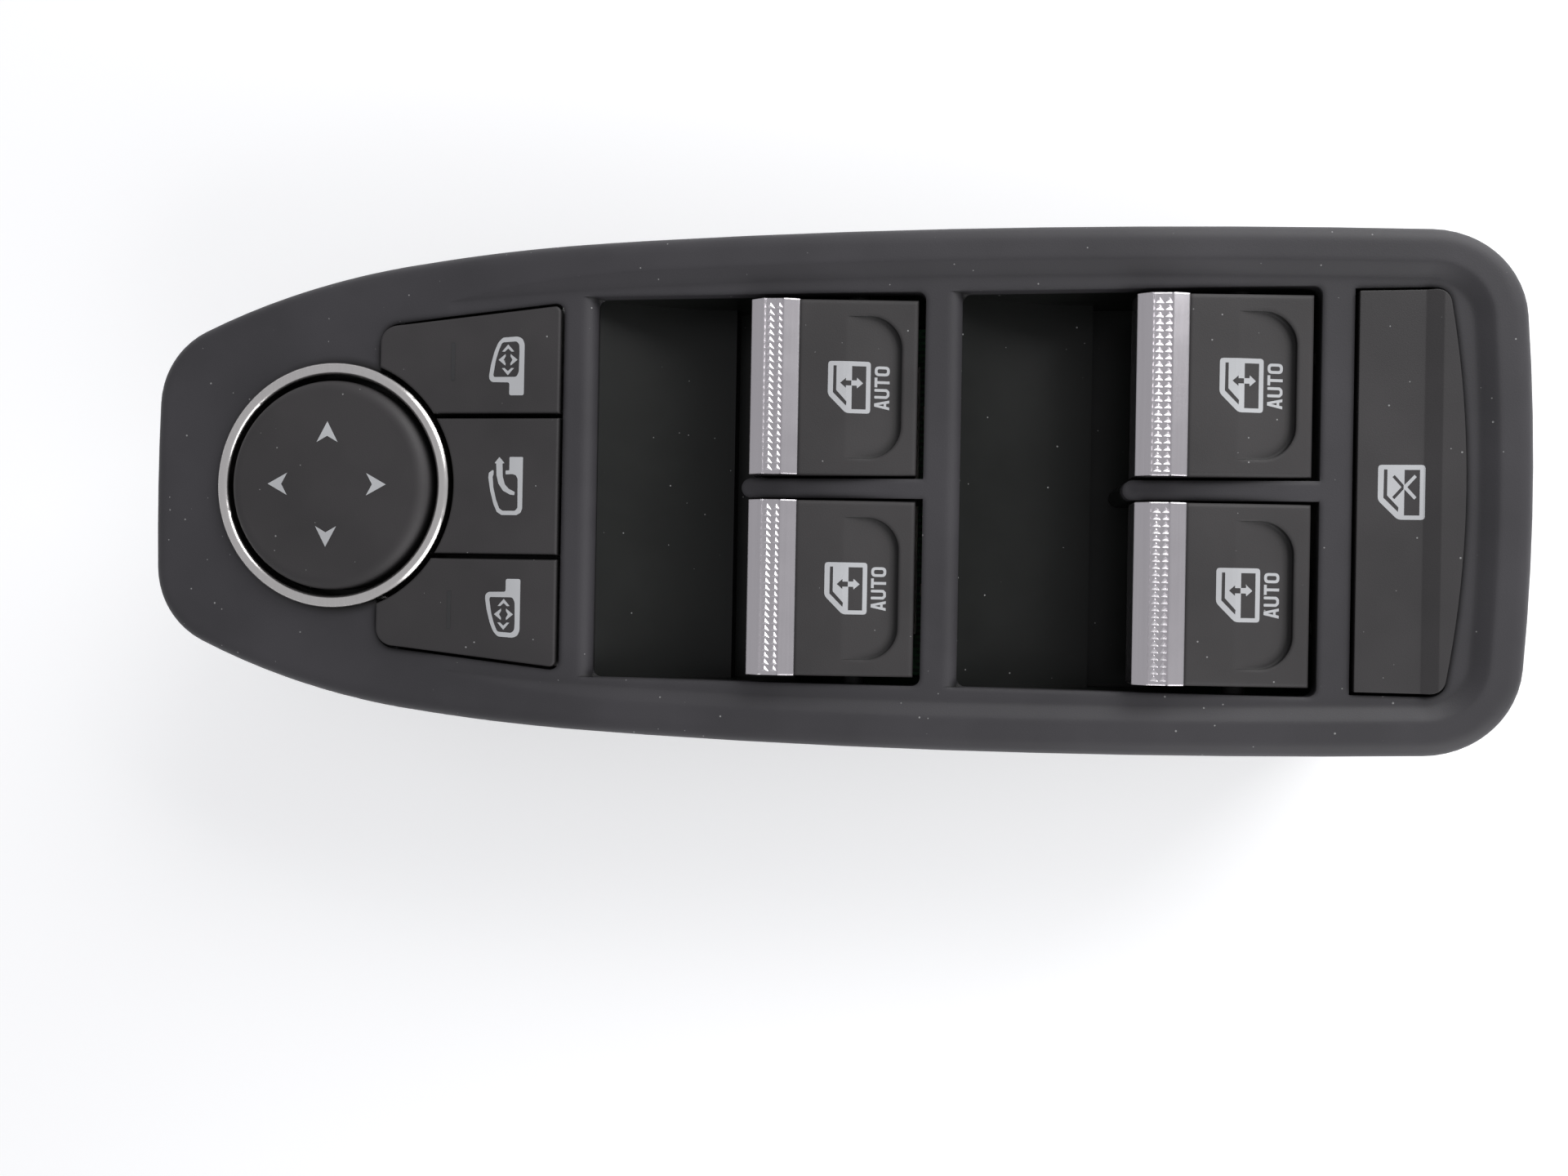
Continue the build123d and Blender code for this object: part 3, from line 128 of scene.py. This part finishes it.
# Legends, in millimetres
LEGEND_LIFT = 0.012
LEGEND_HALF_T = 0.012
LEGEND_CUT = 0.7
PAIR_ENDS = (18.65, 70.45)
ROCKER_Y = 13.825
WINDOW_ICON_BACK = 10.3
WINDOW_ROUND = 0.45
AUTO_BACK = 5.85
AUTO_HEIGHT = 2.05
AUTO_LENGTH = 6.0
LETTER_W = 1.34
LETTER_STROKE = 0.38
LETTER_ROUND = 0.12
O_ROUND_OUT = 0.62
O_ROUND_IN = 0.3
O_STEPS = 5
MIRROR_ICON_X = -40.9
MIRROR_ICON_HIGH = 17.2
MIRROR_ICON_LOW = -17.5
MIRROR_ROUND = 0.3
ARROW_CROSS = (0.18, 0.88)
FOLD_ICON_X = -40.8
FOLD_ROUND = 0.12
FOLD_ARROW_ROUND = 0.08
LOCK_ICON = (80.4, -0.1)
KNOB_X = -67.3
ARROW_TIP = 9.1
ARROW_BASE = 6.1
ARROW_NOTCH = 7.0
ARROW_HALF_W = 1.62
LAMP_X = -48.95
LAMP_Y = 17.9
LAMP_L = 5.4
LAMP_W = 0.55

# Points of a legend closer than this become one, and rays fall on the faces from this height, in metres
WELD = 1e-7
RAY_Z = 0.1

# The share of a side that a rounded corner may take, and the steps round it
CORNER_SHARE = 0.45
CORNER_STEPS = 3

# Knurls on the grip bars: lengths in millimetres, and the number of columns and rows
KNURL_FRONT = 21.8
KNURL_L = 2.5
KNURL_COLUMNS = 2
KNURL_ROWS = 25
KNURL_H = 0.22
KNURL_EDGE = 0.5
KNURL_GAP = 0.04
KNURL_SINK = 0.03
# Where a pyramid has its peak and its end, as shares of the pitch
KNURL_PEAK = 0.36
KNURL_END = 0.94


def node_tree(name):
    """A new node material, its tree and its shader."""
    material = bpy.data.materials.new(name)
    material.use_nodes = True
    tree = material.node_tree
    return material, tree, tree.nodes["Principled BSDF"]


def link(tree, source, target):
    """Join an output socket to an input socket."""
    tree.links.new(source, target)


def coords(tree):
    """The object's own coordinates."""
    return tree.nodes.new("ShaderNodeTexCoord").outputs["Object"]


def noise(tree, pattern):
    """Noise in the object's own coordinates, with the scale and detail of a pattern."""
    scale, detail = pattern
    node = tree.nodes.new("ShaderNodeTexNoise")
    node.inputs["Scale"].default_value = scale
    node.inputs["Detail"].default_value = detail
    link(tree, coords(tree), node.inputs["Vector"])
    return node.outputs["Fac"]


def reckon(tree, operation, first, second):
    """Arithmetic on a socket and a second socket or a number."""
    node = tree.nodes.new("ShaderNodeMath")
    node.operation = operation
    link(tree, first, node.inputs[0])
    if isinstance(second, float):
        node.inputs[1].default_value = second
    else:
        link(tree, second, node.inputs[1])
    return node.outputs[0]


def colour_of(tree, colour):
    """One plain colour as a socket."""
    node = tree.nodes.new("ShaderNodeRGB")
    node.outputs[0].default_value = colour
    return node.outputs[0]


def span(tree, fac, low, high):
    """A value that goes from low to high with fac."""
    node = tree.nodes.new("ShaderNodeMapRange")
    link(tree, fac, node.inputs["Value"])
    node.inputs["To Min"].default_value = low
    node.inputs["To Max"].default_value = high
    return node.outputs["Result"]


def ramp(tree, fac, places, low, high):
    """A colour that goes from low to high as fac goes from one place to the other."""
    node = tree.nodes.new("ShaderNodeValToRGB")
    for element, place, colour in zip(node.color_ramp.elements, places, (low, high)):
        element.position = place
        element.color = (*colour, 1)
    link(tree, fac, node.inputs["Fac"])
    return node.outputs["Color"]


def mix(tree, fac, low, high):
    """A colour mix of two sockets by fac."""
    node = tree.nodes.new("ShaderNodeMix")
    node.data_type = "RGBA"
    link(tree, fac, node.inputs["Factor"])
    link(tree, low, node.inputs[MIX_LOW])
    link(tree, high, node.inputs[MIX_HIGH])
    return node.outputs[MIX_RESULT]


def bump(tree, shader, height, strength, distance, soft=0.0):
    """Fine relief from a height socket, over edges softened by a radius in metres."""
    node = tree.nodes.new("ShaderNodeBump")
    if soft:
        edge = tree.nodes.new("ShaderNodeBevel")
        edge.samples = EDGE_RAYS
        edge.inputs["Radius"].default_value = soft
        link(tree, edge.outputs["Normal"], node.inputs["Normal"])
    node.inputs["Strength"].default_value = strength
    node.inputs["Distance"].default_value = distance
    link(tree, height, node.inputs["Height"])
    link(tree, node.outputs["Normal"], shader.inputs["Normal"])


def dust(tree, amount):
    """A mask of tiny scattered specks."""
    cells = tree.nodes.new("ShaderNodeTexVoronoi")
    cells.inputs["Scale"].default_value = DUST_SCALE
    cells.inputs["Randomness"].default_value = 1.0
    link(tree, coords(tree), cells.inputs["Vector"])
    split = tree.nodes.new("ShaderNodeSeparateColor")
    link(tree, cells.outputs["Color"], split.inputs["Color"])
    size = reckon(tree, "MULTIPLY", split.outputs["Red"], amount)
    radius = reckon(tree, "SUBTRACT", size, amount * DUST_FREE)
    return reckon(tree, "LESS_THAN", cells.outputs["Distance"], radius)


def painted_gap_shade(tree, tone):
    """The tone darkened with painted shade where the surface dips into a narrow gap."""
    shade = tree.nodes.new("ShaderNodeAmbientOcclusion")
    shade.samples = EDGE_RAYS
    shade.inputs["Distance"].default_value = GAP_SHADE_REACH
    light = reckon(tree, "POWER", shade.outputs["AO"], GAP_SHADE_POWER)
    # painted shade: the colour is mixed toward near-black where little of the surroundings is open
    return mix(tree, light, colour_of(tree, PAINTED_SHADE_BLACK), tone)


def moulded(name, low, high, rough, grain=0.25, specks=0.0, soft=0.0, gloss=0.4):
    """Moulded plastic: drifting tone, fine grain, and dust, soft edges and painted shade in narrow gaps where
    asked.
    """
    material, tree, shader = node_tree(name)
    tone = ramp(tree, noise(tree, TONE), TONE_RAMP, low, high)
    if specks:
        tone = mix(tree, dust(tree, specks), tone, colour_of(tree, DUST_GREY))
    # painted shade in gaps comes with every softened finish
    if soft:
        tone = painted_gap_shade(tree, tone)
    link(tree, tone, shader.inputs["Base Color"])
    shader.inputs["Specular IOR Level"].default_value = gloss
    patches = span(tree, noise(tree, GLOSS), rough - PLASTIC_WANDER, rough + PLASTIC_WANDER)
    link(tree, patches, shader.inputs["Roughness"])
    bump(tree, shader, noise(tree, GRAIN), grain, GRAIN_DEPTH, soft)
    return material


def plated(name, colour, rough, soft=0.0003):
    """Satin plating, with faint streaks along Y and soft handling marks."""
    material, tree, shader = node_tree(name)
    stretch = tree.nodes.new("ShaderNodeMapping")
    stretch.inputs["Scale"].default_value = STREAK_SCALE
    link(tree, coords(tree), stretch.inputs["Vector"])
    lines = tree.nodes.new("ShaderNodeTexNoise")
    lines.inputs["Scale"].default_value = 1.0
    link(tree, stretch.outputs["Vector"], lines.inputs["Vector"])
    dim = tuple(c * STREAK_KEEPS for c in colour)
    tone = ramp(tree, lines.outputs["Fac"], STREAK_RAMP, dim, colour)
    link(tree, tone, shader.inputs["Base Color"])
    shader.inputs["Metallic"].default_value = 1.0
    least, most = PLATE_WANDER
    marks = span(tree, noise(tree, HANDLING), rough * least, rough * most)
    link(tree, marks, shader.inputs["Roughness"])
    bump(tree, shader, lines.outputs["Fac"], STREAK_RELIEF, STREAK_DEPTH, soft)
    return material


def metal(name, colour, rough):
    """Plain zinc, tin or spring steel, mottled as rolled or dipped metal is."""
    material, tree, shader = node_tree(name)
    dim = tuple(c * METAL_KEEPS for c in colour)
    tone = ramp(tree, noise(tree, MOTTLE), MOTTLE_RAMP, dim, colour)
    link(tree, tone, shader.inputs["Base Color"])
    shader.inputs["Metallic"].default_value = 1.0
    shader.inputs["Roughness"].default_value = rough
    bump(tree, shader, noise(tree, METAL_GRAIN), METAL_RELIEF, METAL_DEPTH)
    return material


def board_finish():
    """Green solder mask over faint copper tracks."""
    material, tree, shader = node_tree("board_mask")
    tracks = tree.nodes.new("ShaderNodeTexBrick")
    tracks.inputs["Scale"].default_value = TRACK_SCALE
    tracks.inputs["Mortar Size"].default_value = TRACK_WIDTH
    tracks.inputs["Color1"].default_value = MASK_DARK
    tracks.inputs["Color2"].default_value = MASK_LIGHT
    tracks.inputs["Mortar"].default_value = TRACK_GREEN
    link(tree, coords(tree), tracks.inputs["Vector"])
    link(tree, tracks.outputs["Color"], shader.inputs["Base Color"])
    shader.inputs["Roughness"].default_value = BOARD_ROUGH
    return material


MATERIALS = {
    # the bezel, button and rocker finishes carry painted shade in their narrow gaps
    "bezel_plastic": moulded(
        "bezel_grain_and_gap_shade", (0.0365, 0.035, 0.039), (0.0455, 0.0435, 0.0485), 0.56, specks=0.4, soft=0.0011),
    "button_plastic": moulded(
        "button_grain_and_gap_shade", (0.032, 0.03, 0.0312), (0.041, 0.0383, 0.0398), 0.56, specks=0.36, soft=0.00025),
    "housing_plastic": moulded(
        "housing_smooth", (0.0045, 0.0052, 0.0045), (0.007, 0.0078, 0.007), 0.4, 0.08,
        specks=0.36, gloss=0.28),
    "bright_trim": plated("satin_plate", (0.72, 0.69, 0.72), 0.24),
    "nylon": moulded("nylon_natural", (0.6, 0.58, 0.52), (0.7, 0.68, 0.62), 0.45, 0.05),
    "board": board_finish(),
    "switch_black": moulded("switch_black_body", (0.012, 0.012, 0.012), (0.02, 0.02, 0.02), 0.5, 0.1),
    "lamp_lens": moulded("lamp_resin", (0.72, 0.68, 0.45), (0.8, 0.76, 0.55), 0.2, 0.02),
    "socket_plastic": moulded("socket_grey", (0.36, 0.35, 0.32), (0.42, 0.41, 0.38), 0.5, 0.1),
    "tinned_pins": metal("tinned_finish", (0.62, 0.61, 0.57), 0.35),
    "screw_steel": metal("zinc_finish", (0.55, 0.56, 0.55), 0.38),
    "spring_steel": metal("spring_finish", (0.32, 0.32, 0.33), 0.35),
}
ROCKER_GRAIN_AND_GAP_SHADE = moulded(
    "rocker_grain_and_gap_shade", (0.032, 0.03, 0.0308), (0.041, 0.0383, 0.0392), 0.56, specks=0.36, soft=0.0007)
LEGEND_INK = moulded("legend_ink", (0.43, 0.435, 0.45), (0.5, 0.51, 0.525), 0.6, 0.02)
RING_PLATE = plated("ring_plate", (0.84, 0.815, 0.8), 0.2, soft=0.0002)
KNURL_PLATE = plated("knurl_plate", (0.93, 0.9, 0.93), 0.16, soft=0.0)
LAMP_DARK = moulded("lamp_window_dark", (0.03, 0.03, 0.031), (0.036, 0.036, 0.038), 0.5, 0.02)


def dress_nodes():
    """Give every CAD node the finish of its slot, and the rockers and the ring one of their own."""
    slots = {row["node"]: row["material_slot"] for row in frame["record"]["subparts"]}
    for name, node in frame["nodes"].items():
        node.data.materials.clear()
        finish = MATERIALS[slots[name]]
        if name.startswith("window_rocker"):
            finish = ROCKER_GRAIN_AND_GAP_SHADE
        if name == "knob_trim_ring":
            finish = RING_PLATE
        node.data.materials.append(finish)


def surface_of(name):
    """A tree of a CAD node's faces, for laying legends on them."""
    mesh = frame["nodes"][name].data
    return BVHTree.FromPolygons([v.co for v in mesh.vertices], [p.vertices for p in mesh.polygons])


def drop(tree, x, y):
    """The point of a face straight below (x, y), in metres."""
    return tree.ray_cast(Vector((x, y, RAY_Z)), Vector((0, 0, -1)))[0]


def softened(points, radius, steps=CORNER_STEPS):
    """The outline with each corner rounded by up to radius."""
    result = []
    count = len(points)
    for i, point in enumerate(points):
        corner = Vector(point)
        before = Vector(points[i - 1]) - corner
        after = Vector(points[(i + 1) % count]) - corner
        reach = min(radius, before.length * CORNER_SHARE, after.length * CORNER_SHARE)
        start = corner + before.normalized() * reach
        end = corner + after.normalized() * reach
        for k in range(steps + 1):
            t = k / steps
            result.append(tuple((1 - t) ** 2 * start + 2 * t * (1 - t) * corner + t ** 2 * end))
    return result


def flat_shape(name, loops):
    """A thin plate from outlines in millimetres; an outline inside another is a hole."""
    curve = bpy.data.curves.new(name, "CURVE")
    curve.dimensions = "2D"
    curve.fill_mode = "BOTH"
    curve.extrude = LEGEND_HALF_T * MM
    for loop in loops:
        spline = curve.splines.new("POLY")
        spline.points.add(len(loop) - 1)
        for point, (x, y) in zip(spline.points, loop):
            point.co = (x * MM, y * MM, 0, 1)
        spline.use_cyclic_u = True
    holder = bpy.data.objects.new(name + "_curve", curve)
    bpy.context.scene.collection.objects.link(holder)
    bpy.context.view_layer.update()
    mesh = bpy.data.meshes.new_from_object(holder)
    bpy.data.objects.remove(holder)
    bpy.data.curves.remove(curve)
    mesh.name = name
    return mesh


def lay_legend(name, loops, node, body, ink):
    """Lay a printed shape on a CAD node's face, and let it ride with the body."""
    mesh = flat_shape(name, loops)
    shape = bmesh.new()
    shape.from_mesh(mesh)
    bmesh.ops.remove_doubles(shape, verts=shape.verts, dist=WELD)
    xs = [v.co.x for v in shape.verts]
    cut = min(xs) + LEGEND_CUT * MM
    while cut < max(xs):
        everything = list(shape.verts) + list(shape.edges) + list(shape.faces)
        bmesh.ops.bisect_plane(shape, geom=everything, plane_co=(cut, 0, 0), plane_no=(1, 0, 0))
        cut += LEGEND_CUT * MM
    tree = surface_of(node)
    for v in shape.verts:
        hit = drop(tree, v.co.x, v.co.y)
        v.co.z += hit.z + LEGEND_LIFT * MM
    shape.to_mesh(mesh)
    shape.free()
    mesh.materials.append(ink)
    piece = bpy.data.objects.new(name, mesh)
    bpy.context.scene.collection.objects.link(piece)
    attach(piece, body)


def moved(loops, x, y, flip=1):
    """Outlines moved to a place, mirrored top to bottom where flip is -1."""
    return [[(x + px, y + flip * py) for px, py in loop] for loop in loops]


def window_frame_loops():
    """The door and window outline shared by the window and lock legends."""
    outer = [(-2.9, 3.57), (2.89, 3.57), (2.89, -3.56), (-0.41, -3.56), (-2.9, -1.04)]
    slot = [(-2.17, 2.97), (-1.75, 2.97), (-1.75, -0.42), (-0.33, -1.97), (-0.39, -2.55), (-2.2, -0.72)]
    return [softened(outer, WINDOW_ROUND), slot]


def window_icon():
    """The window legend: glass half raised, with an arrow each way."""
    glass = [
        (0.36, 2.92), (2.28, 2.92), (2.28, -3.0), (0.36, -3.0), (0.36, 0.24), (1.01, 0.24),
        (1.06, -0.13), (1.88, 0.59), (1.06, 1.34), (1.01, 0.96), (0.36, 0.96),
    ]
    arrow = [
        (0.29, 0.93), (-0.44, 0.93), (-0.44, 1.29), (-1.22, 0.59), (-0.44, -0.1), (-0.44, 0.24), (0.29, 0.24),
    ]
    return window_frame_loops() + [glass, arrow]


def lock_icon():
    """The window legend crossed out."""
    glass = [
        (0.36, 2.92), (2.25, 2.92), (2.25, -3.0), (0.36, -3.0), (0.36, 0.4), (1.58, -0.93),
        (1.86, -0.63), (0.72, 0.68), (1.86, 2.0), (1.58, 2.28), (0.36, 0.96),
    ]
    arms = [
        (0.27, 0.95), (-0.85, 2.25), (-1.12, 1.98), (0.0, 0.68), (-1.12, -0.62), (-0.85, -0.9), (0.27, 0.41),
    ]
    return window_frame_loops() + [glass, arms]


def mirror_icon():
    """The mirror legend: housing outline with its foot, and four small arrow heads."""
    outer = [
        (-0.63, 4.07), (1.61, 4.21), (2.3, 3.9), (2.61, 3.17), (2.61, -4.21), (0.44, -4.21), (0.44, -2.35),
        (-2.15, -2.3), (-2.56, -1.91), (-2.61, -1.4), (-2.35, 0.24), (-1.84, 2.14), (-1.32, 3.35),
    ]
    inner = [
        (-0.72, 3.38), (1.41, 3.52), (1.82, 3.09), (1.87, 2.14), (1.82, -0.88), (1.47, -1.57),
        (-1.87, -1.57), (-1.98, -1.28), (-1.66, 0.76), (-1.23, 2.22),
    ]
    rings = [softened(outer, MIRROR_ROUND), softened(inner, MIRROR_ROUND)]
    return rings + moved(arrow_cross(), *ARROW_CROSS)


def arrow_cross():
    """Four notched arrow heads around a middle."""
    up = [(0, 2.21), (0.9, 1.19), (0.5, 1.17), (0, 1.62), (-0.5, 1.17), (-0.9, 1.19)]
    side = [(1.42, 0), (0.38, 0.83), (0.36, 0.5), (0.66, 0), (0.36, -0.5), (0.38, -0.83)]
    down = [(x, -y) for x, y in up]
    left = [(-x, y) for x, y in side]
    return [up, side, down, left]


def fold_icon():
    """The folding legend: mirror outline with a curved arrow."""
    outline = [
        (0.02, 2.23), (0.57, 2.23), (0.57, 4.16), (2.57, 4.16), (2.57, -3.21), (2.35, -3.81), (1.74, -4.16),
        (-0.5, -4.16), (-1.19, -3.73), (-1.71, -2.6), (-2.23, -0.71), (-2.54, 1.19), (-2.48, 1.88),
        (-1.97, 2.26), (-1.78, 2.23), (-1.78, 1.62), (-1.91, 1.36), (-1.78, -0.19), (-1.36, -1.91),
        (-0.85, -3.21), (-0.33, -3.55), (1.48, -3.55), (1.88, -3.12), (1.83, 1.02), (1.57, 1.54),
        (1.05, 1.71), (0.02, 1.66),
    ]
    arrow = [
        (-0.93, 4.16), (-0.16, 3.26), (-0.47, 3.23), (-0.4, 1.36), (-0.07, 0.24), (0.54, -0.41),
        (1.43, -0.85), (1.36, -1.31), (0.71, -1.22), (-0.33, -0.67), (-1.02, 0.33), (-1.33, 1.54),
        (-1.4, 3.23), (-1.67, 3.26),
    ]
    return [softened(outline, FOLD_ROUND), softened(arrow, FOLD_ARROW_ROUND)]


def auto_word():
    """The word AUTO in plain strokes, reading up the rocker."""
    w = LETTER_W
    s = LETTER_STROKE
    h = AUTO_HEIGHT
    mid = w / 2
    letters = [
        [
            [(0, 0), (s, 0), (s + 0.1, 0.42), (w - s - 0.1, 0.42), (w - s, 0), (w, 0),
             (mid + 0.22, h), (mid - 0.22, h)],
            [(mid - 0.16, 0.76), (mid + 0.16, 0.76), (mid, 1.5)],
        ],
        [softened([
            (0, h), (0, 0.35), (0.35, 0), (w - 0.35, 0), (w, 0.35), (w, h), (w - s, h), (w - s, 0.5),
            (w - s - 0.12, 0.36), (s + 0.12, 0.36), (s, 0.5), (s, h),
        ], LETTER_ROUND)],
        [[(0, h), (0, h - s), (mid - s / 2, h - s), (mid - s / 2, 0), (mid + s / 2, 0), (mid + s / 2, h - s),
          (w, h - s), (w, h)]],
        [
            softened([(0, 0), (w, 0), (w, h), (0, h)], O_ROUND_OUT, O_STEPS),
            softened([(s, s), (w - s, s), (w - s, h - s), (s, h - s)], O_ROUND_IN, O_STEPS),
        ],
    ]
    step = (AUTO_LENGTH - w) / (len(letters) - 1)
    placed = []
    for i, letter in enumerate(letters):
        for loop in letter:
            placed.append([(h / 2 - b, i * step + a - AUTO_LENGTH / 2) for a, b in loop])
    return placed


def rockers():
    """The number of each rocker, the front end of its pair, and its middle across."""
    number = 0
    for end in PAIR_ENDS:
        for y in (ROCKER_Y, -ROCKER_Y):
            number += 1
            yield number, end, y


def rocker_legends():
    """The window legend and AUTO on each rocker."""
    for number, end, y in rockers():
        node = f"window_rocker_{number}"
        body = f"rocker_{number}"
        window = moved(window_icon(), end - WINDOW_ICON_BACK, y)
        word = moved(auto_word(), end - AUTO_BACK, y)
        lay_legend(f"window_legend_{number}", window, node, body, LEGEND_INK)
        lay_legend(f"auto_legend_{number}", word, node, body, LEGEND_INK)


def mirror_legends():
    """The legends on the three mirror buttons, their dark lamp windows, and the pad's arrows."""
    top = moved(mirror_icon(), MIRROR_ICON_X, MIRROR_ICON_HIGH)
    low = moved(mirror_icon(), MIRROR_ICON_X, MIRROR_ICON_LOW, -1)
    middle = moved(fold_icon(), FOLD_ICON_X, 0)
    lay_legend("mirror_legend_left", top, "mirror_select_button_left", "select_left", LEGEND_INK)
    lay_legend("mirror_legend_right", low, "mirror_select_button_right", "select_right", LEGEND_INK)
    lay_legend("fold_legend", middle, "mirror_fold_button", "fold_button", LEGEND_INK)
    half_w = LAMP_W / 2
    half_l = LAMP_L / 2
    lamp = [[(-half_w, -half_l), (half_w, -half_l), (half_w, half_l), (-half_w, half_l)]]
    for side, y in (("left", LAMP_Y), ("right", -LAMP_Y)):
        window = moved(lamp, LAMP_X, y)
        lay_legend(f"lamp_window_{side}", window, f"mirror_select_button_{side}", f"select_{side}", LAMP_DARK)
    arrow = [(0, ARROW_TIP), (-ARROW_HALF_W, ARROW_BASE), (0, ARROW_NOTCH), (ARROW_HALF_W, ARROW_BASE)]
    for i, (c, s) in enumerate(((1, 0), (0, 1), (-1, 0), (0, -1))):
        turned = [[(KNOB_X + c * x - s * y, s * x + c * y) for x, y in arrow]]
        lay_legend(f"pad_arrow_{i + 1}", turned, "mirror_knob", "mirror_pad", LEGEND_INK)


def lock_legend():
    """The crossed window on the lock button."""
    lay_legend("lock_legend", moved(lock_icon(), *LOCK_ICON), "window_lock_button", "lock_button", LEGEND_INK)


def knurl_strip(number, end):
    """Two columns of small pyramids in the middle band of a rocker's grip bar."""
    tree = surface_of(f"rocker_grip_bar_{number}")
    low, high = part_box(f"rocker_grip_bar_{number}")
    y0 = low[1] + KNURL_EDGE * MM
    pitch = (high[1] - low[1] - 2 * KNURL_EDGE * MM) / KNURL_ROWS
    width = KNURL_L / KNURL_COLUMNS * MM
    x0 = (end - KNURL_FRONT) * MM
    verts = []
    faces = []
    for column in range(KNURL_COLUMNS):
        left = x0 + column * width + KNURL_GAP * MM
        right = x0 + (column + 1) * width - KNURL_GAP * MM
        mid = (left + right) / 2
        ground = drop(tree, mid, y0).z - KNURL_SINK * MM
        for row in range(KNURL_ROWS):
            front = y0 + row * pitch
            back = front + pitch * KNURL_END
            peak = Vector((mid, front + KNURL_PEAK * pitch, ground + (KNURL_SINK + KNURL_H) * MM))
            base = len(verts)
            verts += [(left, front, ground), (right, front, ground), (mid, back, ground), peak]
            faces += [(base, base + 2, base + 1), (base, base + 1, base + 3)]
            faces += [(base + 1, base + 2, base + 3), (base + 2, base, base + 3)]
    mesh = bpy.data.meshes.new(f"grip_knurl_{number}")
    mesh.from_pydata(verts, [], faces)
    mesh.materials.append(KNURL_PLATE)
    piece = bpy.data.objects.new(f"grip_knurl_{number}", mesh)
    bpy.context.scene.collection.objects.link(piece)
    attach(piece, f"rocker_{number}")


def add_camera():
    """The photograph's viewpoint, above the face and a little off the middle."""
    data = bpy.data.cameras.new("camera")
    data.lens = LENS_MM
    data.sensor_width = SENSOR_MM
    data.sensor_fit = "HORIZONTAL"
    data.clip_start = CLIP_START
    camera = bpy.data.objects.new("camera", data)
    bpy.context.scene.collection.objects.link(camera)
    place = Vector((CAMERA_AT[0], CAMERA_AT[1], FACE_Z + CAMERA_AT[2])) * MM
    turn = Matrix((CAMERA_RIGHT, CAMERA_UP, CAMERA_BACK)).transposed().to_4x4()
    camera.matrix_world = Matrix.Translation(place) @ turn
    bpy.context.scene.camera = camera


def add_floor():
    """A pale floor that looks white in the picture and in reflections, and keeps the shadow."""
    bpy.ops.mesh.primitive_plane_add(size=FLOOR_SIZE, location=(0, 0, FLOOR_Z))
    floor = bpy.context.object
    floor.name = "floor"
    material, tree, shader = node_tree("floor_paper")
    shader.inputs["Base Color"].default_value = FLOOR_COLOUR
    shader.inputs["Roughness"].default_value = FLOOR_ROUGH
    path = tree.nodes.new("ShaderNodeLightPath")
    seen = reckon(tree, "MAXIMUM", path.outputs["Is Camera Ray"], path.outputs["Is Glossy Ray"])
    shader.inputs["Emission Color"].default_value = (1, 1, 1, 1)
    link(tree, reckon(tree, "MULTIPLY", seen, FLOOR_GLOW), shader.inputs["Emission Strength"])
    floor.data.materials.append(material)


def add_light(name, place, watts):
    """A square soft light beside the object."""
    data = bpy.data.lights.new(name, "AREA")
    data.size = LIGHT_SIZE
    data.energy = watts
    light = bpy.data.objects.new(name, data)
    bpy.context.scene.collection.objects.link(light)
    light.location = place
    aim = Vector(LIGHT_AIM) - Vector(place)
    light.rotation_euler = aim.to_track_quat("-Z", "Y").to_euler()


def add_world():
    """Plain, even studio surroundings."""
    world = bpy.data.worlds.new("studio")
    world.use_nodes = True
    bpy.context.scene.world = world
    back = world.node_tree.nodes["Background"]
    back.inputs["Color"].default_value = WORLD_COLOUR
    back.inputs["Strength"].default_value = WORLD_LIGHT


def main():
    dress_nodes()
    rocker_legends()
    mirror_legends()
    lock_legend()
    for number, end, _ in rockers():
        knurl_strip(number, end)
    add_camera()
    add_floor()
    for name, place, watts in LIGHTS:
        add_light(name, place, watts)
    add_world()
    bpy.context.scene.view_settings.view_transform = "Standard"


main()
